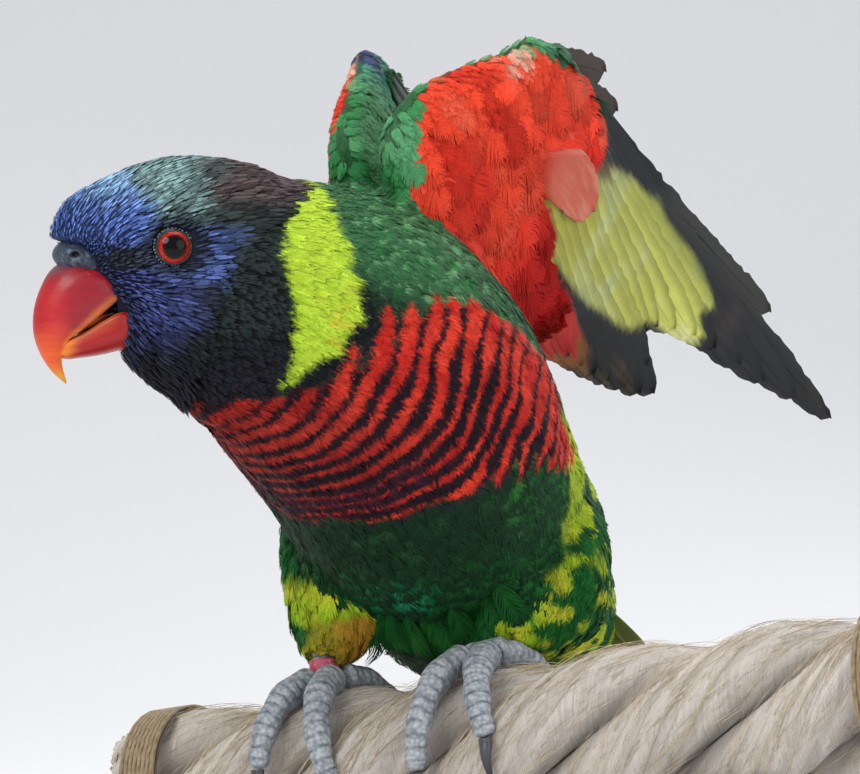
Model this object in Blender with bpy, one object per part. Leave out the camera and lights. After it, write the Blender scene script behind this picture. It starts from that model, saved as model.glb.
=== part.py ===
"""A coconut lorikeet with both wings raised, gripping a length of thick rope on a plain display stand.

Metres, +Z up; the origin is the centre of the stand's underside. The bird's chest faces -Y and a little
-X, its head is turned to look along -X. Sizes are written in millimetres and turned into metres by mm().

The trunk is one swept form parted across into neck, breast, belly and rump. The head is a form of its
own, swept along the way the bird looks. Each wing is a padded arm with fans of flight feathers. Pieces
that meet keep GAP between them.
"""

import math

import bmesh
import bpy
import numpy as np
from mathutils import Vector

MM = 0.001
GAP = 0.3 * MM  # left between pieces that touch
SLACK = 0.35  # millimetres between a band or saddle and what it goes round
CUT_GAP = 0.38 * MM  # how far a neighbour is grown before it is cut out of a piece

# ---- the bird's main directions ------------------------------------------------------------------
HEADING = Vector((-0.465, -0.885, 0.0)).normalized()  # where the chest points
LEFT = Vector((0.885, -0.465, 0.0)).normalized()  # the bird's own left side
LOOK = Vector((-0.975, -0.222, 0.0)).normalized()  # where the head looks
HEAD_LEFT = Vector((0.222, -0.975, 0.0)).normalized()
UP = Vector((0.0, 0.0, 1.0))

# ---- trunk: along the spine from the tail's root to the inside of the head -----------------------
# centre x, y, z, half width to the sides, reach to the back, reach to the belly
SPINE = (
    (31.0, 39.0, 120.0, 11.0, 9.0, 10.0),
    (22.5, 25.0, 129.0, 19.0, 17.0, 19.0),
    (11.0, 7.0, 141.0, 26.5, 24.0, 26.0),
    (0.5, -13.0, 156.5, 31.0, 29.5, 30.5),
    (-9.0, -32.0, 172.0, 32.5, 33.5, 30.5),
    (-19.0, -46.0, 184.0, 30.0, 32.0, 31.0),
    (-30.0, -56.0, 192.0, 25.0, 25.5, 29.0),
    (-39.5, -61.0, 196.0, 20.5, 20.0, 27.0),
    (-46.5, -63.0, 198.0, 17.0, 17.0, 20.0),
)
SPINE_ROWS = 26
AROUND = 17
# where the trunk is parted, as shares of the spine's length
TRUNK_PARTS = (("rump", 0.0, 0.22), ("belly", 0.22, 0.47), ("breast", 0.47, 0.74), ("neck", 0.74, 1.0))

# ---- head, in its own frame: forward of the eyes, left of the middle, above the eyes -------------
EYE_LEVEL = Vector((-50.9, -63.4, 200.8))  # the middle of the head between the eyes
# forward, top, bottom, half width
HEAD = (
    (-25.0, 11.0, -6.0, 9.0),
    (-21.0, 14.8, -16.0, 15.0),
    (-14.0, 17.0, -23.5, 18.0),
    (-7.0, 17.9, -26.5, 17.8),
    (0.0, 17.7, -26.0, 15.6),
    (5.0, 16.4, -22.0, 14.2),
    (9.5, 14.6, -17.8, 12.6),
    (13.5, 12.8, -11.0, 10.8),
    (17.0, 10.9, -6.0, 8.6),
    (19.8, 8.0, -2.5, 6.2),
    (21.3, 4.6, 0.6, 3.2),
)
HEAD_BACK = (-27.4, 0.0, 2.5)
HEAD_FRONT = (22.0, 0.0, 2.7)
EYE = (0.0, 12.2, 0.2)
EYE_RADIUS = 4.2

# bill, in the head's frame: culmen forward, up; cutting edge forward, up; half width
UPPER_BILL = (
    (13.5, -1.5, 7.6, -8.2, 5.2),
    (17.5, -1.6, 9.2, -9.6, 6.0),
    (20.8, -3.4, 11.3, -11.4, 6.2),
    (23.2, -7.4, 13.6, -13.4, 5.7),
    (24.4, -11.8, 16.0, -15.4, 4.9),
    (24.3, -16.2, 18.2, -17.2, 3.8),
    (22.9, -20.0, 19.2, -19.6, 2.5),
    (20.9, -22.9, 19.0, -22.2, 1.3),
    (18.7, -24.9, 18.2, -24.6, 0.4),
)
UPPER_BILL_TIP = (18.2, 0.0, -25.3)
# forward, top, bottom, half width
LOWER_BILL = (
    (4.5, -12.6, -18.2, 5.0),
    (8.0, -12.1, -18.9, 6.1),
    (12.0, -14.4, -19.8, 5.6),
    (15.5, -16.9, -20.3, 4.5),
    (17.8, -18.6, -20.5, 3.0),
    (18.9, -19.6, -20.4, 1.2),
)
LOWER_BILL_TIP = (19.4, 0.0, -20.1)
TONGUE = (
    (7.5, -11.6, -13.0, 2.6),
    (10.5, -12.0, -13.9, 3.0),
    (13.2, -13.6, -15.2, 2.6),
    (14.8, -15.2, -16.0, 1.4),
)
TONGUE_TIP = (15.4, 0.0, -15.9)
CERE_CENTRE = (16.8, 0.0, -0.9)
CERE_SIZE = (4.6, 5.0, 2.9)

# ---- wings: wrist, where the longest feather points, a point at the shoulder ---------------------
WING_LEFT = (Vector((20.0, -25.0, 244.0)), Vector((71.0, 105.0, -76.0)), Vector((0.0, -30.0, 188.0)))
WING_RIGHT = (Vector((-14.0, -7.0, 243.0)), Vector((35.0, 130.0, -60.0)), Vector((-12.5, -30.0, 207.0)))
HAND_CAMBER = 4.0
# the arm and its cover feathers, across from the wrist: b, front edge, back edge, thickness
ARM = (
    (-5.5, 8.0, 24.0, 2.0),
    (-3.0, 0.0, 33.0, 4.0),
    (2.0, -3.5, 42.0, 6.5),
    (8.0, -8.0, 47.0, 8.0),
    (16.0, -15.0, 50.0, 9.5),
    (24.0, -21.0, 52.0, 10.5),
    (32.0, -24.0, 52.0, 11.5),
    (39.0, -22.5, 50.0, 12.0),
    (44.0, -16.0, 46.0, 11.0),
    (48.5, -2.0, 38.0, 6.5),
)
# flight feathers in the wing's plane, from the wrist: root a, b and tip a, b
PRIMARIES = (
    (15.0, -3.2, 148.0, 0.0),
    (13.6, -1.8, 134.0, 4.8),
    (12.2, -0.8, 122.0, 9.0),
    (11.0, 0.2, 112.5, 12.2),
    (9.8, 1.0, 102.5, 14.6),
    (8.6, 1.8, 94.5, 16.6),
    (7.4, 2.6, 87.5, 18.8),
    (6.2, 3.4, 81.0, 21.0),
    (5.0, 4.2, 77.0, 23.4),
)
PRIMARY_EDGES = ((15.4, -5.2, 109.0, -5.8), (4.6, 4.8, 72.0, 24.8))
SECONDARIES = (
    (4.0, 7.5, 85.0, 28.6),
    (4.4, 10.5, 90.5, 32.8),
    (4.8, 13.5, 88.0, 35.6),
    (5.2, 16.5, 83.0, 38.0),
    (5.6, 19.5, 77.0, 40.2),
    (6.0, 22.5, 71.0, 42.2),
    (6.4, 25.5, 65.0, 44.0),
    (6.8, 28.5, 58.5, 45.6),
)
SECONDARY_EDGES = ((3.8, 6.0, 79.0, 26.4), (7.0, 30.0, 50.0, 47.0))
# the thumb's feathers stand out from the left wing's edge and lie flat along the right one's
ALULA_RAISED = ((3.0, -3.4, 32.0, -15.0), (5.0, -2.0, 39.5, -10.5))
ALULA_RAISED_EDGES = ((1.5, -4.6, 22.0, -13.2), (7.0, -0.6, 41.0, -6.4))
ALULA_FLAT = ((4.0, 2.6, 24.0, 3.0), (4.6, 4.4, 28.0, 6.0))
ALULA_FLAT_EDGES = ((3.6, 1.4, 17.0, 1.0), (5.0, 5.8, 24.0, 9.0))
ALULA_LIFT = 4.6
NOTCH = 3.2  # how far the notch between two tips lies behind the shorter one
FEATHER_THICKNESS = 1.2

# ---- tail ----------------------------------------------------------------------------------------
TAIL_ROOT = Vector((29.0, 29.0, 127.0))
TAIL_WAY = Vector((0.33, 0.63, -0.70)).normalized()
TAIL_LENGTH = 112.0
TAIL_FEATHERS = 6  # on each side of the middle
TAIL_SPREAD = 13.0  # degrees, from the middle feather to the outermost
TAIL_EDGE_HALF = 0.5  # half the thickness at the tips
TAIL_PADDING = 2.4  # added at the root of the middle feather, on each side
TAIL_ROOT_HALF_WIDTH = 9.0
TAIL_NOTCH = 5.0
TAIL_THINNING = 0.75  # share of the padding lost from the middle to the sides
TAIL_ROWS = 2
TAIL_ROOF = 1.5  # how much lower the outermost feathers lie than the middle one
TAIL_STEP = 7.4  # how much shorter each next feather is

# ---- rope perch ----------------------------------------------------------------------------------
ROPE_MIDDLE = Vector((-3.0, -25.0, 99.5))
ROPE_WAY = Vector((0.874, -0.459, 0.165)).normalized()
ROPE_FROM = -62.0  # the cut ends, along the rope from its middle point
ROPE_TO = 114.0
ROPE_LAY = 99.0  # length in which a strand goes round once
STRAND_CENTRE = 8.4
STRAND_RADIUS = 8.6
STRAND_TURN = 62.0  # degrees, where the first strand lies at the rope's middle
ROPE_STEPS = 27
WHIPPING_WIDTH = 9.0
WHIPPING_SIDES = 16
WHIPPING_THICKNESS = 1.6
WHIPPING_INSET = 7.5  # from the rope's end to the band's middle

# ---- legs ----------------------------------------------------------------------------------------
TOE_RADIUS = 2.6
TOE_TAPER = 0.42  # share of its radius a toe loses from root to claw
TOE_ARCH = 0.9  # how far its middle lifts off the rope
TOE_STEPS = 5
FOOT_LEFT = 18.0  # along the rope
FOOT_RIGHT = -17.5
# name, first angle over the rope, last angle, shift along the rope at its end, length share
TOES = (
    ("front_inner", 6.0, 84.0, 1.0, 0.92),
    ("front_outer", 6.0, 92.0, -1.0, 1.0),
    ("back_inner", -6.0, -62.0, 1.0, 0.7),
    ("back_outer", -6.0, -78.0, -1.0, 0.85),
)
TOE_SPLAY_START = 2.5
TOE_SPLAY_END = 8.0
CLAW_START = 4.0  # degrees past the toe's end
CLAW_REACH = 24.0  # degrees further round the rope
CLAW_RADIUS = 1.15
CLAW_STEPS = 3
CLAW_LIFT = 1.6  # from the rope's surface to the claw's middle
# x, y, z and radius, from inside the trunk down to the ankle
THIGH_LEFT = (
    (17.0, -2.0, 152.0, 17.0),
    (20.5, -7.0, 140.0, 17.6),
    (22.0, -13.0, 131.0, 15.0),
    (17.5, -21.0, 125.6, 8.5),
    (14.6, -25.6, 123.0, 4.6),
)
THIGH_RIGHT = (
    (-15.2, -6.0, 149.0, 15.5),
    (-16.5, -8.5, 137.0, 14.2),
    (-19.4, -11.5, 127.0, 9.8),
    (-21.0, -13.8, 121.0, 5.8),
    (-21.4, -15.0, 118.6, 3.6),
)
SHANK_RADIUS = 2.1
SHANK_HIDDEN = 5.0  # its length inside the thigh
HUB_LIFT = 2.8  # where the toes meet, over the rope
RING_RADIUS = 3.1
RING_HALF_WIDTH = 1.5
RING_SIDES = 14
RING_PLACE = 0.15  # its share of the way from the ankle to the foot

# ---- display stand -------------------------------------------------------------------------------
BASE_SIZE = (210.0, 168.0, 10.0)
BASE_CORNER = 12.0
BASE_EDGE = 1.2
ROD_PLACES = (("left", -40.0), ("right", 74.0))  # along the rope from its middle
ROD_RADIUS = 3.5
ROD_FOOT_RADIUS = 9.0
ROD_FOOT_HEIGHT = 3.0
SADDLE_HALF_ANGLE = 52.0
SADDLE_THICKNESS = 2.4
SADDLE_HALF_LENGTH = 9.0
SADDLE_STEPS = 8


# ---- plain tools ---------------------------------------------------------------------------------
def mm(x, y, z):
    return Vector((x, y, z)) * MM


def through(rows, count):
    """Rows read at even steps from a smooth curve through the given rows; their first three are places."""
    rows = np.array(rows, float)
    steps = np.linalg.norm(np.diff(rows[:, :3], axis=0), axis=1)
    at = np.concatenate(([0.0], np.cumsum(steps)))
    slopes = np.gradient(rows, at, axis=0)
    out = []
    for s in np.linspace(0.0, at[-1], count):
        i = min(int(np.searchsorted(at, s, side="right")) - 1, len(at) - 2)
        h = at[i + 1] - at[i]
        t = (s - at[i]) / h
        out.append(
            (2 * t**3 - 3 * t**2 + 1) * rows[i]
            + (t**3 - 2 * t**2 + t) * h * slopes[i]
            + (3 * t**2 - 2 * t**3) * rows[i + 1]
            + (t**3 - t**2) * h * slopes[i + 1]
        )
    return np.array(out)


def finish_material(name, colour, roughness, metallic=0.0):
    found = bpy.data.materials.get(name)
    if found:
        return found
    made = bpy.data.materials.new(name)
    made.use_nodes = True
    shader = made.node_tree.nodes["Principled BSDF"]
    shader.inputs["Base Color"].default_value = (*colour, 1.0)
    shader.inputs["Roughness"].default_value = roughness
    shader.inputs["Metallic"].default_value = metallic
    made.diffuse_color = (*colour, 1.0)
    return made


WHOLE = {}  # each piece's mesh before anything is cut out of it, by name


def node(name, bm, finish, smooth_angle=40.0):
    """Turns a bmesh, in metres, into a named object with its finish."""
    bmesh.ops.remove_doubles(bm, verts=bm.verts, dist=1e-7)
    bmesh.ops.triangulate(bm, faces=[f for f in bm.faces if len(f.verts) > 4])
    bmesh.ops.recalc_face_normals(bm, faces=bm.faces)
    mesh = bpy.data.meshes.new(name)
    bm.to_mesh(mesh)
    bm.free()
    mesh.materials.append(finish())
    mesh.shade_smooth()
    mesh.set_sharp_from_angle(angle=math.radians(smooth_angle))
    WHOLE[name] = mesh.copy()
    made = bpy.data.objects.new(name, mesh)
    bpy.context.scene.collection.objects.link(made)
    return made


def loft(rings, tip_start=None, tip_end=None):
    """Skins a list of rings of points (metres) and closes both ends, flat or to a tip point."""
    bm = bmesh.new()
    loops = [[bm.verts.new(p) for p in ring] for ring in rings]
    count = len(loops[0])
    for low, high in zip(loops, loops[1:]):
        for i in range(count):
            j = (i + 1) % count
            bm.faces.new((low[i], low[j], high[j], high[i]))
    for loop, tip in ((loops[0], tip_start), (loops[-1], tip_end)):
        if tip is None:
            bm.faces.new(loop)
            continue
        point = bm.verts.new(tip)
        for i in range(count):
            bm.faces.new((loop[i], loop[(i + 1) % count], point))
    bmesh.ops.recalc_face_normals(bm, faces=bm.faces)
    return bm


def oval(centre, side, up, half_side, reach_up, reach_down, count):
    """A ring round centre, in metres; its upper and lower halves may differ. Sizes in millimetres."""
    points = []
    for k in range(count):
        angle = 2 * math.pi * k / count
        high = math.sin(angle)
        reach = reach_up if high >= 0 else reach_down
        points.append(centre + (side * (half_side * math.cos(angle)) + up * (reach * high)) * MM)
    return points


def closed_sheet(low, high):
    """A thin closed form between two grids of points: columns of places from root to end."""
    bm = bmesh.new()
    under = [[bm.verts.new(p) for p in line] for line in low]
    over = [[bm.verts.new(p) for p in line] for line in high]
    last = len(under) - 1
    rows = len(under[0]) - 1
    for i in range(last):
        for r in range(rows):
            bm.faces.new((under[i][r], under[i + 1][r], under[i + 1][r + 1], under[i][r + 1]))
            bm.faces.new((over[i][r], over[i][r + 1], over[i + 1][r + 1], over[i + 1][r]))
        for r in (0, rows):
            bm.faces.new((under[i][r], under[i + 1][r], over[i + 1][r], over[i][r]))
    for i in (0, last):
        for r in range(rows):
            bm.faces.new((under[i][r], under[i][r + 1], over[i][r + 1], over[i][r]))
    return bm


def closed_band(sections):
    """A ring-shaped form through sections of points that follow each other round to the first again."""
    bm = bmesh.new()
    loops = [[bm.verts.new(p) for p in section] for section in sections]
    for near, far in zip(loops, loops[1:] + loops[:1]):
        count = len(near)
        for i in range(count):
            j = (i + 1) % count
            bm.faces.new((near[i], near[j], far[j], far[i]))
    return bm


def round_tube(points, count, tip=0.5):
    """A tube along points (x, y, z, radius in millimetres) with a short rounded tip at both ends."""
    places = [mm(*p[:3]) for p in points]
    rings = []
    side = None
    for i, place in enumerate(places):
        along = (places[min(i + 1, len(places) - 1)] - places[max(i - 1, 0)]).normalized()
        if side is None:
            side = along.orthogonal().normalized()
        side = (side - along * side.dot(along)).normalized()
        radius = points[i][3]
        rings.append(oval(place, side, along.cross(side), radius, radius, radius, count))
    start = places[0] - (places[1] - places[0]).normalized() * (points[0][3] * tip * MM)
    end = places[-1] + (places[-1] - places[-2]).normalized() * (points[-1][3] * tip * MM)
    return loft(rings, start, end)


def cut_out(piece, *neighbours):
    """Takes each neighbour's whole form, grown a little, out of a piece; keeps the largest part left."""
    for neighbour in neighbours:
        cutter_mesh = WHOLE[neighbour].copy()
        normals = [v.normal.copy() for v in cutter_mesh.vertices]
        for vertex, normal in zip(cutter_mesh.vertices, normals):
            vertex.co += normal * CUT_GAP
        cutter = bpy.data.objects.new("cutter", cutter_mesh)
        bpy.context.scene.collection.objects.link(cutter)
        cutter.hide_render = True
        cutter.display_type = "WIRE"
        cut = piece.modifiers.new("cut", "BOOLEAN")
        cut.operation = "DIFFERENCE"
        cut.solver = "EXACT"
        cut.object = cutter
        bpy.context.view_layer.update()
        evaluated = piece.evaluated_get(bpy.context.evaluated_depsgraph_get())
        result = bpy.data.meshes.new_from_object(evaluated)
        piece.modifiers.remove(cut)
        piece.data = result
        bpy.data.objects.remove(cutter)
    keep_largest(piece)


def keep_largest(piece):
    bm = bmesh.new()
    bm.from_mesh(piece.data)
    bmesh.ops.remove_doubles(bm, verts=bm.verts, dist=2e-6)
    bmesh.ops.dissolve_degenerate(bm, edges=bm.edges, dist=2e-6)
    bmesh.ops.triangulate(bm, faces=bm.faces)
    left = set(bm.verts)
    groups = []
    while left:
        stack = [left.pop()]
        group = set(stack)
        while stack:
            for edge in stack.pop().link_edges:
                for other in edge.verts:
                    if other in left:
                        left.discard(other)
                        group.add(other)
                        stack.append(other)
        groups.append(group)
    keep = max(groups, key=len)
    bmesh.ops.delete(bm, geom=[v for v in bm.verts if v not in keep], context="VERTS")
    bm.to_mesh(piece.data)
    bm.free()


# ---- finishes ------------------------------------------------------------------------------------
def blue_black_feathers():
    return finish_material("head_feathers", (0.055, 0.06, 0.18), 0.62)


def lime_feathers():
    return finish_material("collar_feathers", (0.32, 0.42, 0.03), 0.65)


def red_feathers():
    return finish_material("breast_feathers", (0.48, 0.045, 0.03), 0.65)


def green_feathers():
    return finish_material("green_feathers", (0.015, 0.12, 0.04), 0.62)


def lime_barred_feathers():
    return finish_material("thigh_feathers", (0.2, 0.27, 0.03), 0.65)


def orange_red_feathers():
    return finish_material("wing_lining", (0.55, 0.07, 0.03), 0.7)


def dark_flight_feathers():
    return finish_material("flight_feathers", (0.03, 0.033, 0.04), 0.5)


def red_horn():
    return finish_material("bill_horn", (0.5, 0.03, 0.02), 0.32)


def grey_cere():
    return finish_material("cere_skin", (0.07, 0.1, 0.12), 0.55)


def tongue_flesh():
    return finish_material("tongue_flesh", (0.5, 0.16, 0.05), 0.45)


def eye_gloss():
    return finish_material("eye_gloss", (0.35, 0.03, 0.01), 0.08)


def foot_scales():
    return finish_material("foot_scales", (0.17, 0.21, 0.26), 0.6)


def claw_horn():
    return finish_material("claw_horn", (0.1, 0.11, 0.12), 0.4)


def pink_ring():
    return finish_material("leg_ring_plastic", (0.5, 0.08, 0.12), 0.4)


def natural_rope():
    return finish_material("rope_fibre", (0.5, 0.42, 0.31), 0.85)


def whipping_twine():
    return finish_material("whipping_twine", (0.36, 0.29, 0.2), 0.8)


def stand_wood():
    return finish_material("stand_wood", (0.12, 0.06, 0.03), 0.45)


def stand_metal():
    return finish_material("stand_metal", (0.36, 0.35, 0.33), 0.3, 1.0)


# ---- trunk and neck ------------------------------------------------------------------------------
def spine_rings():
    """A ring of the trunk at each row, square to the spine; its sides turn towards the head's at the neck."""
    rows = through(SPINE, SPINE_ROWS)
    rings = []
    ways = []
    for i, row in enumerate(rows):
        along = Vector(rows[min(i + 1, len(rows) - 1)][:3] - rows[max(i - 1, 0)][:3]).normalized()
        turn = max(0.0, (i / (SPINE_ROWS - 1) - 0.55) / 0.45)
        side = LEFT.lerp(HEAD_LEFT, turn * 0.6)
        side = (side - along * side.dot(along)).normalized()
        back = side.cross(along).normalized()
        if back.z < 0:
            back = -back
        rings.append((mm(*row[:3]), side, back, row[3], row[4], row[5]))
        ways.append(along)
    return rings, ways


def trunk_length(rings, ways, first, last):
    """The trunk from one row to another, with half a gap taken off where it meets the next length."""
    loops = []
    for i in range(first, last + 1):
        centre, side, back, half, high, low = rings[i]
        shift = Vector()
        if i == first and first > 0:
            shift = ways[i] * (GAP / 2)
        if i == last and last < SPINE_ROWS - 1:
            shift = ways[i] * (-GAP / 2)
        loops.append(oval(centre + shift, side, back, half, high, low, AROUND))
    tip_start = rings[0][0] - ways[0] * (5 * MM) if first == 0 else None
    tip_end = rings[-1][0] + ways[-1] * (6 * MM) if last == SPINE_ROWS - 1 else None
    return loft(loops, tip_start, tip_end)


def make_trunk():
    """Rump, belly, breast and neck: lengths of one form with thin flat cuts between them."""
    rings, ways = spine_rings()
    finishes = {
        "rump": green_feathers,
        "belly": green_feathers,
        "breast": red_feathers,
        "neck": lime_feathers,
    }
    made = {}
    for name, start, end in TRUNK_PARTS:
        first = round(start * (SPINE_ROWS - 1))
        last = round(end * (SPINE_ROWS - 1))
        made[name] = node(name, trunk_length(rings, ways, first, last), finishes[name])
    form = trunk_length(rings, ways, 0, SPINE_ROWS - 1)
    mesh = bpy.data.meshes.new("trunk")
    form.to_mesh(mesh)
    form.free()
    WHOLE["trunk"] = mesh
    return made


# ---- head ----------------------------------------------------------------------------------------
def in_head(forward, left, above):
    """A point given in the head's own frame, in metres."""
    return (EYE_LEVEL + LOOK * forward + HEAD_LEFT * left + UP * above) * MM


def head_ring(forward, top, bottom, half_width, count):
    middle = (top + bottom) / 2
    reach = (top - bottom) / 2
    return oval(in_head(forward, 0, middle), HEAD_LEFT, UP, half_width, reach, reach, count)


def make_head():
    rows = through([(f, 0, 0, top, bottom, half) for f, top, bottom, half in HEAD], 13)
    loops = [head_ring(row[0], row[3], row[4], row[5], AROUND) for row in rows]
    return node("head", loft(loops, in_head(*HEAD_BACK), in_head(*HEAD_FRONT)), blue_black_feathers)


def ball(centre, radius_forward, radius_left, radius_up, rows, count):
    loops = []
    for k in range(1, rows):
        angle = math.pi * k / rows
        at = -math.cos(angle)
        wide = math.sin(angle)
        middle = in_head(centre[0] + radius_forward * at, centre[1], centre[2])
        reach = radius_up * wide
        loops.append(oval(middle, HEAD_LEFT, UP, radius_left * wide, reach, reach, count))
    start = in_head(centre[0] - radius_forward, centre[1], centre[2])
    end = in_head(centre[0] + radius_forward, centre[1], centre[2])
    return loft(loops, start, end)


def make_eyes():
    for side, sign in (("left", 1), ("right", -1)):
        centre = (EYE[0], EYE[1] * sign, EYE[2])
        bm = ball(centre, EYE_RADIUS, EYE_RADIUS, EYE_RADIUS, 7, 10)
        node("eye_" + side, bm, eye_gloss)


def make_upper_bill():
    """Sections run from the culmen to the cutting edge and close to the hook's tip."""
    loops = []
    rows = through([(cf, 0, cu, tf, tu, half) for cf, cu, tf, tu, half in UPPER_BILL], 11)
    for cf, _, cu, tf, tu, half in rows:
        culmen = in_head(cf, 0, cu)
        edge = in_head(tf, 0, tu)
        up = (culmen - edge).normalized()
        reach = (culmen - edge).length / 2 / MM
        loops.append(oval((culmen + edge) / 2, HEAD_LEFT, up, half, reach, reach, 12))
    return node("upper_bill", loft(loops, None, in_head(*UPPER_BILL_TIP)), red_horn)


def make_lower_bill():
    rows = through([(f, 0, 0, top, bottom, half) for f, top, bottom, half in LOWER_BILL], 9)
    loops = [head_ring(row[0], row[3], row[4], row[5], 12) for row in rows]
    return node("lower_bill", loft(loops, None, in_head(*LOWER_BILL_TIP)), red_horn)


def make_tongue():
    loops = [head_ring(f, top, bottom, half, 8) for f, top, bottom, half in TONGUE]
    return node("tongue", loft(loops, None, in_head(*TONGUE_TIP)), tongue_flesh)


def make_cere():
    return node("cere", ball(CERE_CENTRE, *CERE_SIZE, 6, 9), grey_cere)


def make_whole_head(neck):
    head = make_head()
    make_upper_bill()
    cut_out(make_lower_bill(), "upper_bill")
    cut_out(make_tongue(), "upper_bill", "lower_bill")
    cut_out(make_cere(), "upper_bill")
    make_eyes()
    cut_out(neck, "head")
    cut_out(head, "upper_bill", "lower_bill", "tongue", "cere", "eye_left", "eye_right")


# ---- wings ---------------------------------------------------------------------------------------
class Wing:
    """The plane of a wing: a runs from the wrist along the longest feather, b across it to the body."""

    def __init__(self, side, wrist, hand, shoulder):
        self.side = side
        self.wrist = wrist
        self.along = hand.normalized()
        across = shoulder - wrist
        self.across = (across - self.along * across.dot(self.along)).normalized()
        upper = self.across.cross(self.along)
        outward = LEFT if side == "left" else -LEFT
        self.upper = upper if upper.dot(outward) < 0 else -upper  # the upper side faces the other wing
        self.length = hand.length

    def point(self, a, b, lift=0.0):
        """A place on the wing, a and b from the wrist, lifted towards its upper side; in metres."""
        share = min(max(a / self.length, 0.0), 1.0)
        camber = HAND_CAMBER * math.sin(math.pi * share)
        return (self.wrist + self.along * a + self.across * b + self.upper * (lift + camber)) * MM


def feather_columns(feathers, edges):
    """Lines from root to end: outer edge, each feather's middle with a notch after it, inner edge."""
    lines = [edges[0]]
    for i, feather in enumerate(feathers):
        lines.append(feather)
        if i + 1 < len(feathers):
            after = feathers[i + 1]
            root_a, root_b, tip_a, tip_b = [(x + y) / 2 for x, y in zip(feather, after)]
            share = (min(feather[2], after[2]) - NOTCH - root_a) / (tip_a - root_a)
            notch_a = root_a + (tip_a - root_a) * share
            notch_b = root_b + (tip_b - root_b) * share
            lines.append((root_a, root_b, notch_a, notch_b))
    lines.append(edges[1])
    return [(np.array(line[:2]), np.array(line[2:])) for line in lines]


def feather_fan(wing, feathers, edges, lift, rows=2):
    """A closed sheet over the feathers of a fan, side by side, with a pointed tip for each."""
    columns = feather_columns(feathers, edges)
    sheets = []
    for thick in (-FEATHER_THICKNESS / 2, FEATHER_THICKNESS / 2):
        grid = []
        for start, end in columns:
            steps = [start + (end - start) * (r / rows) for r in range(rows + 1)]
            grid.append([wing.point(a, b, lift + thick) for a, b in steps])
        sheets.append(grid)
    return closed_sheet(*sheets)


def make_arm(wing):
    """The arm with its cover feathers: a padded form, rounded in front and thin behind."""
    loops = []
    for row in through([(b, 0, 0, front, back, thick) for b, front, back, thick in ARM], 12):
        b, _, _, front, back, thick = row
        ring = []
        for share, height in ((0, 0), (0.05, 0.62), (0.2, 1.0), (0.5, 0.9), (0.8, 0.5), (1, 0.12)):
            ring.append((front + (back - front) * share, height))
        outline = ring + [(a, -h) for a, h in reversed(ring[1:])]
        loops.append([wing.point(a, b, h * thick / 2) for a, h in outline])
    return node("wing_" + wing.side + "_arm", loft(loops), orange_red_feathers)


def make_wing(side, numbers, thumb):
    wing = Wing(side, *numbers)
    name = "wing_" + side + "_"
    arm = make_arm(wing)
    flight = dark_flight_feathers
    primaries = node(name + "primaries", feather_fan(wing, PRIMARIES, PRIMARY_EDGES, 0.0), flight)
    secondaries = node(name + "secondaries", feather_fan(wing, SECONDARIES, SECONDARY_EDGES, 0.2), flight)
    alula = node(name + "alula", feather_fan(wing, *thumb, ALULA_LIFT), flight)
    cut_out(arm, "trunk")
    cut_out(primaries, name + "arm")
    cut_out(secondaries, name + "arm", name + "primaries", "trunk")
    cut_out(alula, name + "arm", name + "primaries")


# ---- tail ----------------------------------------------------------------------------------------
def tail_column(off, shorter, side):
    """One line of the tail, from its root to its end; off runs from -1 to 1 across the fan."""
    angle = math.radians(TAIL_SPREAD * off)
    length = TAIL_LENGTH - TAIL_STEP * abs(off) * TAIL_FEATHERS - shorter
    way = TAIL_WAY * math.cos(angle) + side * math.sin(angle)
    start = TAIL_ROOT + side * (TAIL_ROOT_HALF_WIDTH * off)
    return start, start + way * length, 1 - TAIL_THINNING * abs(off)


def make_tail():
    """The tail's feathers lie over each other in a narrow fan, each pair shorter than the one inside."""
    side = (LEFT - TAIL_WAY * LEFT.dot(TAIL_WAY)).normalized()
    upper = side.cross(TAIL_WAY).normalized()
    columns = []
    for k in range(-2 * TAIL_FEATHERS, 2 * TAIL_FEATHERS + 1):
        notch = TAIL_NOTCH if k % 2 else 0.0
        columns.append(tail_column(k / (2 * TAIL_FEATHERS), notch, side))
    sheets = []
    for sign in (-1, 1):
        grid = []
        for start, end, full in columns:
            line = []
            for r in range(TAIL_ROWS + 1):
                at = r / TAIL_ROWS
                thick = TAIL_EDGE_HALF + TAIL_PADDING * full * (1 - at)
                drop = TAIL_ROOF * (1 - full)
                line.append((start.lerp(end, at) + upper * (sign * thick - drop)) * MM)
            grid.append(line)
        sheets.append(grid)
    cut_out(node("tail", closed_sheet(*sheets), green_feathers), "trunk")


# ---- rope ----------------------------------------------------------------------------------------
ROPE_FRONT = (HEADING - ROPE_WAY * HEADING.dot(ROPE_WAY)).normalized()
ROPE_UP = ROPE_FRONT.cross(ROPE_WAY).normalized()


def on_rope(along, angle, radius):
    """A place by the rope, in millimetres: along it, at an angle from its top towards the front."""
    turn = math.radians(angle)
    out = ROPE_UP * math.cos(turn) + ROPE_FRONT * math.sin(turn)
    return ROPE_MIDDLE + ROPE_WAY * along + out * radius


def strand_mesh(loops):
    """Like loft, but the walls between strands are split along matching lines, to stay parallel."""
    bm = bmesh.new()
    rows = [[bm.verts.new(p) for p in loop] for loop in loops]
    last = len(rows[0]) - 1
    for low, high in zip(rows, rows[1:]):
        for outer in (1, last):
            bm.faces.new((low[outer], high[outer], high[0]))
            bm.faces.new((low[outer], high[0], low[0]))
        for i in range(1, last):
            bm.faces.new((low[i], low[i + 1], high[i + 1], high[i]))
    for row in (rows[0], rows[-1]):
        bm.faces.new(row)
    return bm


STRANDS = ("perch_strand_a", "perch_strand_b", "perch_strand_c")


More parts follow.
